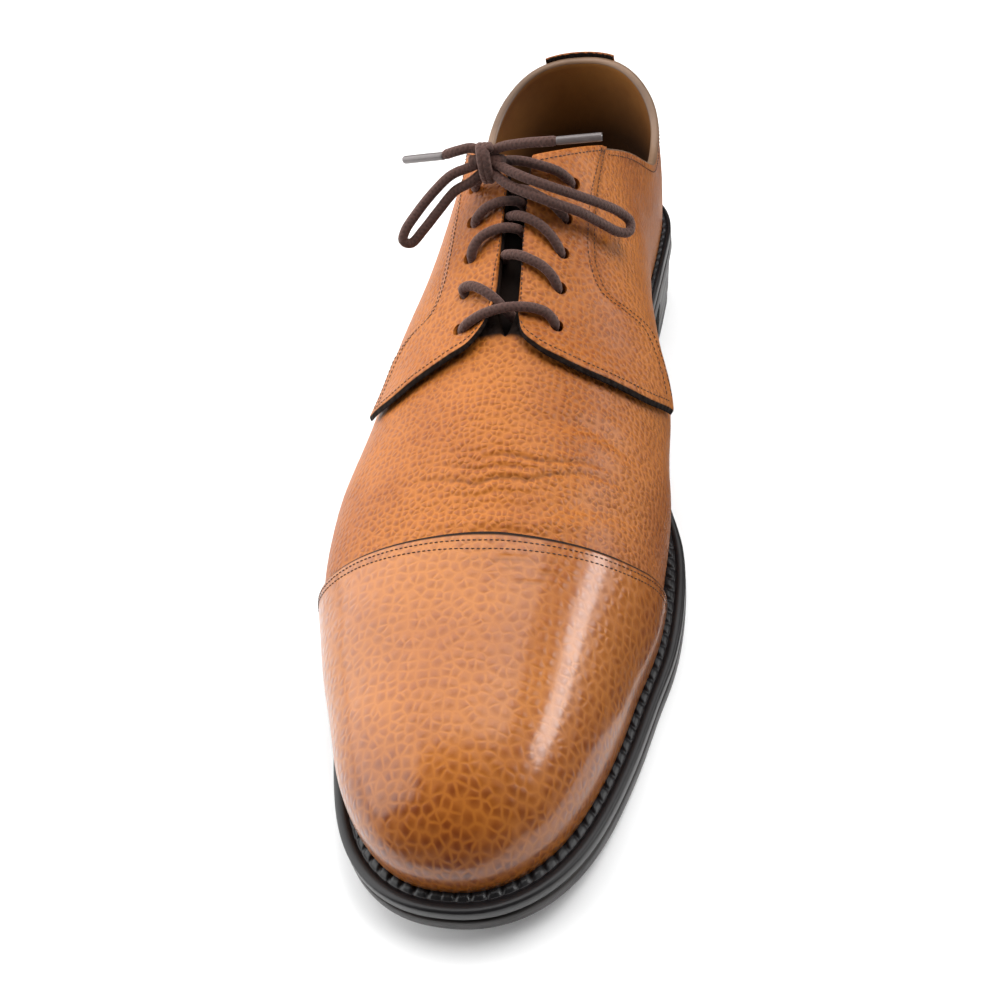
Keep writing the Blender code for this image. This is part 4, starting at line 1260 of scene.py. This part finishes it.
def heel_outline(inset, count=150):
    """Outline of the heel: round the back from corner to corner, then along its hollow front."""
    end = float(around(np.array(HEEL_BREAST), "medial"))
    q = np.linspace(-end, end, count)
    x, a = plan(q, 0.0, inset)
    share = np.linspace(0.0, 1.0, 42)[1:-1]
    front_x = x[-1] + (x[0] - x[-1]) * share
    front_a = a[-1] + (a[0] - a[-1]) * share - 5.0 * (1 - (2 * share - 1) ** 2)
    return np.stack((np.concatenate((x, front_x)), np.concatenate((a, front_a))), -1)


def build_heel_block(name, rows, finish, node, whole):
    """A block of the heel from rows of inset and height; whole gives the height's meaning at each place."""
    rings = []
    for inset, height in rows:
        outline = heel_outline(inset)
        rings.append(np.concatenate((outline, whole(outline[:, 1], height)[:, None]), 1))
    grid = np.stack(rings)
    points, faces = join_grids(((grid, True),))
    count = grid.shape[1]
    caps = [list(range(count)), list(range(len(points) - count, len(points)))]
    add_piece(name, points, faces.tolist() + caps, (finish,), (node,))


STACK_LIFTS = 3
STACK_GROOVE = 0.22
STACK_INSET = 2.4           # at the foot of the stack
STACK_TAPER = 1.6
SEAT = 0.3                  # gap between the heel's layers and what they lie on


def build_heel():
    stack = []
    for i in range(STACK_LIFTS):
        for share, groove in ((0.0, 1.0), (0.05, 0.2), (0.12, 0.0), (0.5, 0.0), (0.88, 0.0), (0.95, 0.2)):
            height = (i + share) / STACK_LIFTS
            stack.append((STACK_INSET - STACK_TAPER * height + STACK_GROOVE * groove, height))
    stack.append((STACK_INSET - STACK_TAPER + STACK_GROOVE, 1.0))
    build_heel_block("heel_layers", stack, SOLE_EDGE, "heel_stack",
                     lambda a, share: LIFT_T + SEAT + (underside(a) - SEAT - LIFT_T - SEAT) * share)
    lift = ((4.2, 0.0), (3.4, 0.1), (3.1, 0.5), (2.95, 1.2), (2.7, 5.0), (2.75, 5.6), (3.1, LIFT_T))
    build_heel_block("heel_top_piece", lift, RUBBER, "heel_lift",
                     lambda a, height: np.full(np.shape(a), height))


def build_sole():
    edge = ((0.30, 0.0, 0.0), (0.16, 0.0, 0.05), (0.06, 0.0, 0.4), (0.015, 0.0, 1.0), (0.0, 0.0, 1.8),
            (0.0, 0.0, 3.2), (0.0, 0.0, 4.4), (0.02, 0.0, 5.0), (0.07, 0.0, 5.4), (0.16, 0.0, OUTSOLE_T))
    below = tuple((0.30, centre, 0.0) for centre in (1.0, 0.75, 0.5, 0.25, 0.08))
    above = tuple((0.16, centre, OUTSOLE_T) for centre in (0.1, 0.4, 0.7, 1.0))
    build_layer("outsole_dressed", below + edge + above, SOLE_EDGE, ("outsole",))
    build_welt()
    low, high = FEATHER_Z, FEATHER_Z + INSOLE_T
    edge = ((1.45, 0.0, high - 0.6), (1.5, 0.0, high - 0.15))
    below = tuple((1.45, centre, low) for centre in (1.0, 0.5, 0.0))
    above = tuple((1.6, centre, high) for centre in (0.0, 0.2, 0.4, 0.6, 0.8, 1.0))
    build_layer("insole_sock", below + edge + above, LINING, ("insole",), 200)
    build_heel()


# Lace

def strand_path(controls):
    """Smooth path through controls given on the last or as x, a, z."""
    points = []
    for control in controls:
        if isinstance(control[0], str):
            side, a, t, rise = control
            control = last_offset(around(np.array(a), side), np.array(t), np.array(rise))
        points.append(control)
    return smooth_line(points, 0.55)


def add_cords(name, grids, replaces):
    """One piece of the lace, from the grids of its cords."""
    points, faces = join_grids([(grid, False) for grid, _ in grids])
    uv = np.concatenate([place.reshape(-1, 2) for _, place in grids])
    return add_piece(name, points, faces, (CORD,), replaces, uv=uv)


def build_knot():
    """Two turns of the cord wrapped over the bow, round the strands that run through it."""
    x, a, z = KNOT
    turn = np.linspace(-0.6, 2 * np.pi * 2 + 0.4, 120)
    wrap = np.stack((x - 1.4 + 2.6 * (turn / (4 * np.pi)) + 0.5 * np.sin(turn),
                     a + 3.4 * np.sin(turn) + 0.5,
                     z + 5.0 * np.cos(turn) - 0.6), -1)
    core = smooth_line(((x - 5.5, a + 0.6, z - 0.6), (x, a, z), (x + 5.5, a + 0.8, z - 0.4)), 0.5)
    grids = [cord_grid(even_line(wrap, 0.5), LACE_R * 0.97), cord_grid(core, LACE_R * 1.5)]
    return add_cords("knot", grids, ("lace_knot",))


def build_tip(name, start, end):
    """Plastic tube on the end of the lace, hollow at its tip."""
    start, end = np.array(start, float), np.array(end, float)
    rows = ((0.0, 0.0), (0.0, 1.1), (0.03, 1.22), (0.3, AGLET_R), (0.6, AGLET_R), (0.97, AGLET_R),
            (1.0, 1.15), (1.0, 0.85), (0.97, 0.75), (0.88, 0.7), (0.88, 0.0))
    shares, radii = np.array(rows).T
    line = start + (end - start) * np.linspace(0, 1, len(rows))[:, None]
    straight, _ = tube_grid(line, np.ones(len(rows)), 16)
    path = start + (end - start) * shares[:, None]
    grid = path[:, None] + (straight - line[:, None]) * radii[:, None, None]
    points, faces = join_grids(((grid, False),))
    return add_piece(name + "_tube", points, faces, (TIP,), (name,))


def build_lace():
    for node, strands in STRANDS.items():
        add_cords(node + "_cord", [cord_grid(strand_path(controls)) for controls in strands], (node,))
    knot = build_knot()
    for node, route in LOOPS.items():
        path = smooth_line(route, 0.6)
        loop = add_cords(node + "_cord", [cord_grid(path)], (node,))
    for node, route in ENDS.items():
        path = smooth_line(route, 0.6)
        tip = build_tip(*AGLETS[node])
        hidden = float(np.linalg.norm(np.subtract(route[-1], AGLETS[node][1])))
        end = add_cords(node + "_cord", [cord_grid(path, slim=hidden)], (node,))


# Studio

def add_light(name, at, aim, size, power, spin, diffuse, glossy):
    """A soft box, which may leave only glare, or none."""
    data = bpy.data.lights.new(name, "AREA")
    data.shape = "RECTANGLE"
    data.size, data.size_y = size
    data.energy = power
    light = bpy.data.objects.new(name, data)
    light.location = at
    light.rotation_mode = "QUATERNION"
    turned = (Vector(aim) - Vector(at)).to_track_quat("-Z", "Y")
    light.rotation_quaternion = turned @ Quaternion((0.0, 0.0, 1.0), spin)
    light.visible_camera = False
    light.visible_diffuse = diffuse
    light.visible_glossy = glossy
    bpy.context.scene.collection.objects.link(light)


def add_card(name, finish, corners):
    """A dark card of the studio that keeps glare off one side. It shows in reflections only."""
    data = bpy.data.meshes.new(name)
    data.from_pydata(corners, [], [(0, 1, 2, 3)])
    data.materials.append(finish)
    card = bpy.data.objects.new(name, data)
    card.visible_camera = False
    card.visible_diffuse = False
    card.visible_shadow = False
    bpy.context.scene.collection.objects.link(card)


def build_floor():
    """White floor that fades into the wall, so that no edge shows from any side."""
    mesh = bmesh.new()
    bmesh.ops.create_grid(mesh, x_segments=1, y_segments=1, size=3.0)
    data = bpy.data.meshes.new("floor")
    mesh.to_mesh(data)
    mesh.free()
    made, tree, shader = new_material("white floor")
    set_values(shader, Base_Color=FLOOR_WHITE, Emission_Color=FLOOR_WHITE, Emission_Strength=0.15,
               Roughness=0.6, Specular_IOR_Level=0.2)
    away = add_node(tree, "VectorMath", {0: object_place(tree)}, operation="LENGTH").outputs["Value"]
    faded = add_node(tree, "MixShader", {0: ramp(tree, away, *FLOOR_FADE), 1: shader.outputs[0],
                                         2: add_node(tree, "BsdfTransparent").outputs[0]})
    tree.links.new(faded.outputs[0], tree.nodes["Material Output"].inputs["Surface"])
    data.materials.append(made)
    floor = bpy.data.objects.new("floor", data)
    bpy.context.scene.collection.objects.link(floor)


def build_studio():
    build_floor()
    world = bpy.data.worlds.new("studio")
    world.use_nodes = True
    tree = world.node_tree
    wall = tree.nodes["Background"]
    wall.inputs["Color"].default_value = WALL_WHITE
    seen = add_node(tree, "LightPath").outputs["Is Camera Ray"]
    tree.links.new(ramp(tree, seen, 0.0, 1.0, WALL_LIGHT, 1.0), wall.inputs["Strength"])
    bpy.context.scene.world = world
    for light in LIGHTS:
        add_light(*light)
    dark = plain_material("dark card", (0.03, 0.014, 0.008), 0.9)
    for name, corners in CARDS.items():
        add_card(name, dark, corners)


def build_camera():
    pitch, yaw, roll = np.radians((CAMERA_PITCH, CAMERA_YAW, CAMERA_ROLL))
    forward = np.array((np.sin(yaw) * np.cos(pitch), np.cos(yaw) * np.cos(pitch), -np.sin(pitch)))
    level = np.array((np.cos(yaw), -np.sin(yaw), 0.0))
    down = np.cross(forward, level)
    right = np.cos(roll) * level + np.sin(roll) * down
    below = -np.sin(roll) * level + np.cos(roll) * down
    data = bpy.data.cameras.new("camera")
    data.lens = CAMERA_LENS
    data.sensor_width = SENSOR
    data.clip_start = 0.01
    camera = bpy.data.objects.new("camera", data)
    turned = Matrix((right, -below, -forward)).transposed().to_4x4()
    camera.matrix_world = Matrix.Translation(CAMERA_AT) @ turned
    bpy.context.scene.collection.objects.link(camera)
    bpy.context.scene.camera = camera


build_camera()
build_lace()
build_upper()
build_panels()
build_stitches()
build_sole()
build_studio()
bpy.context.scene.view_settings.view_transform = "Standard"
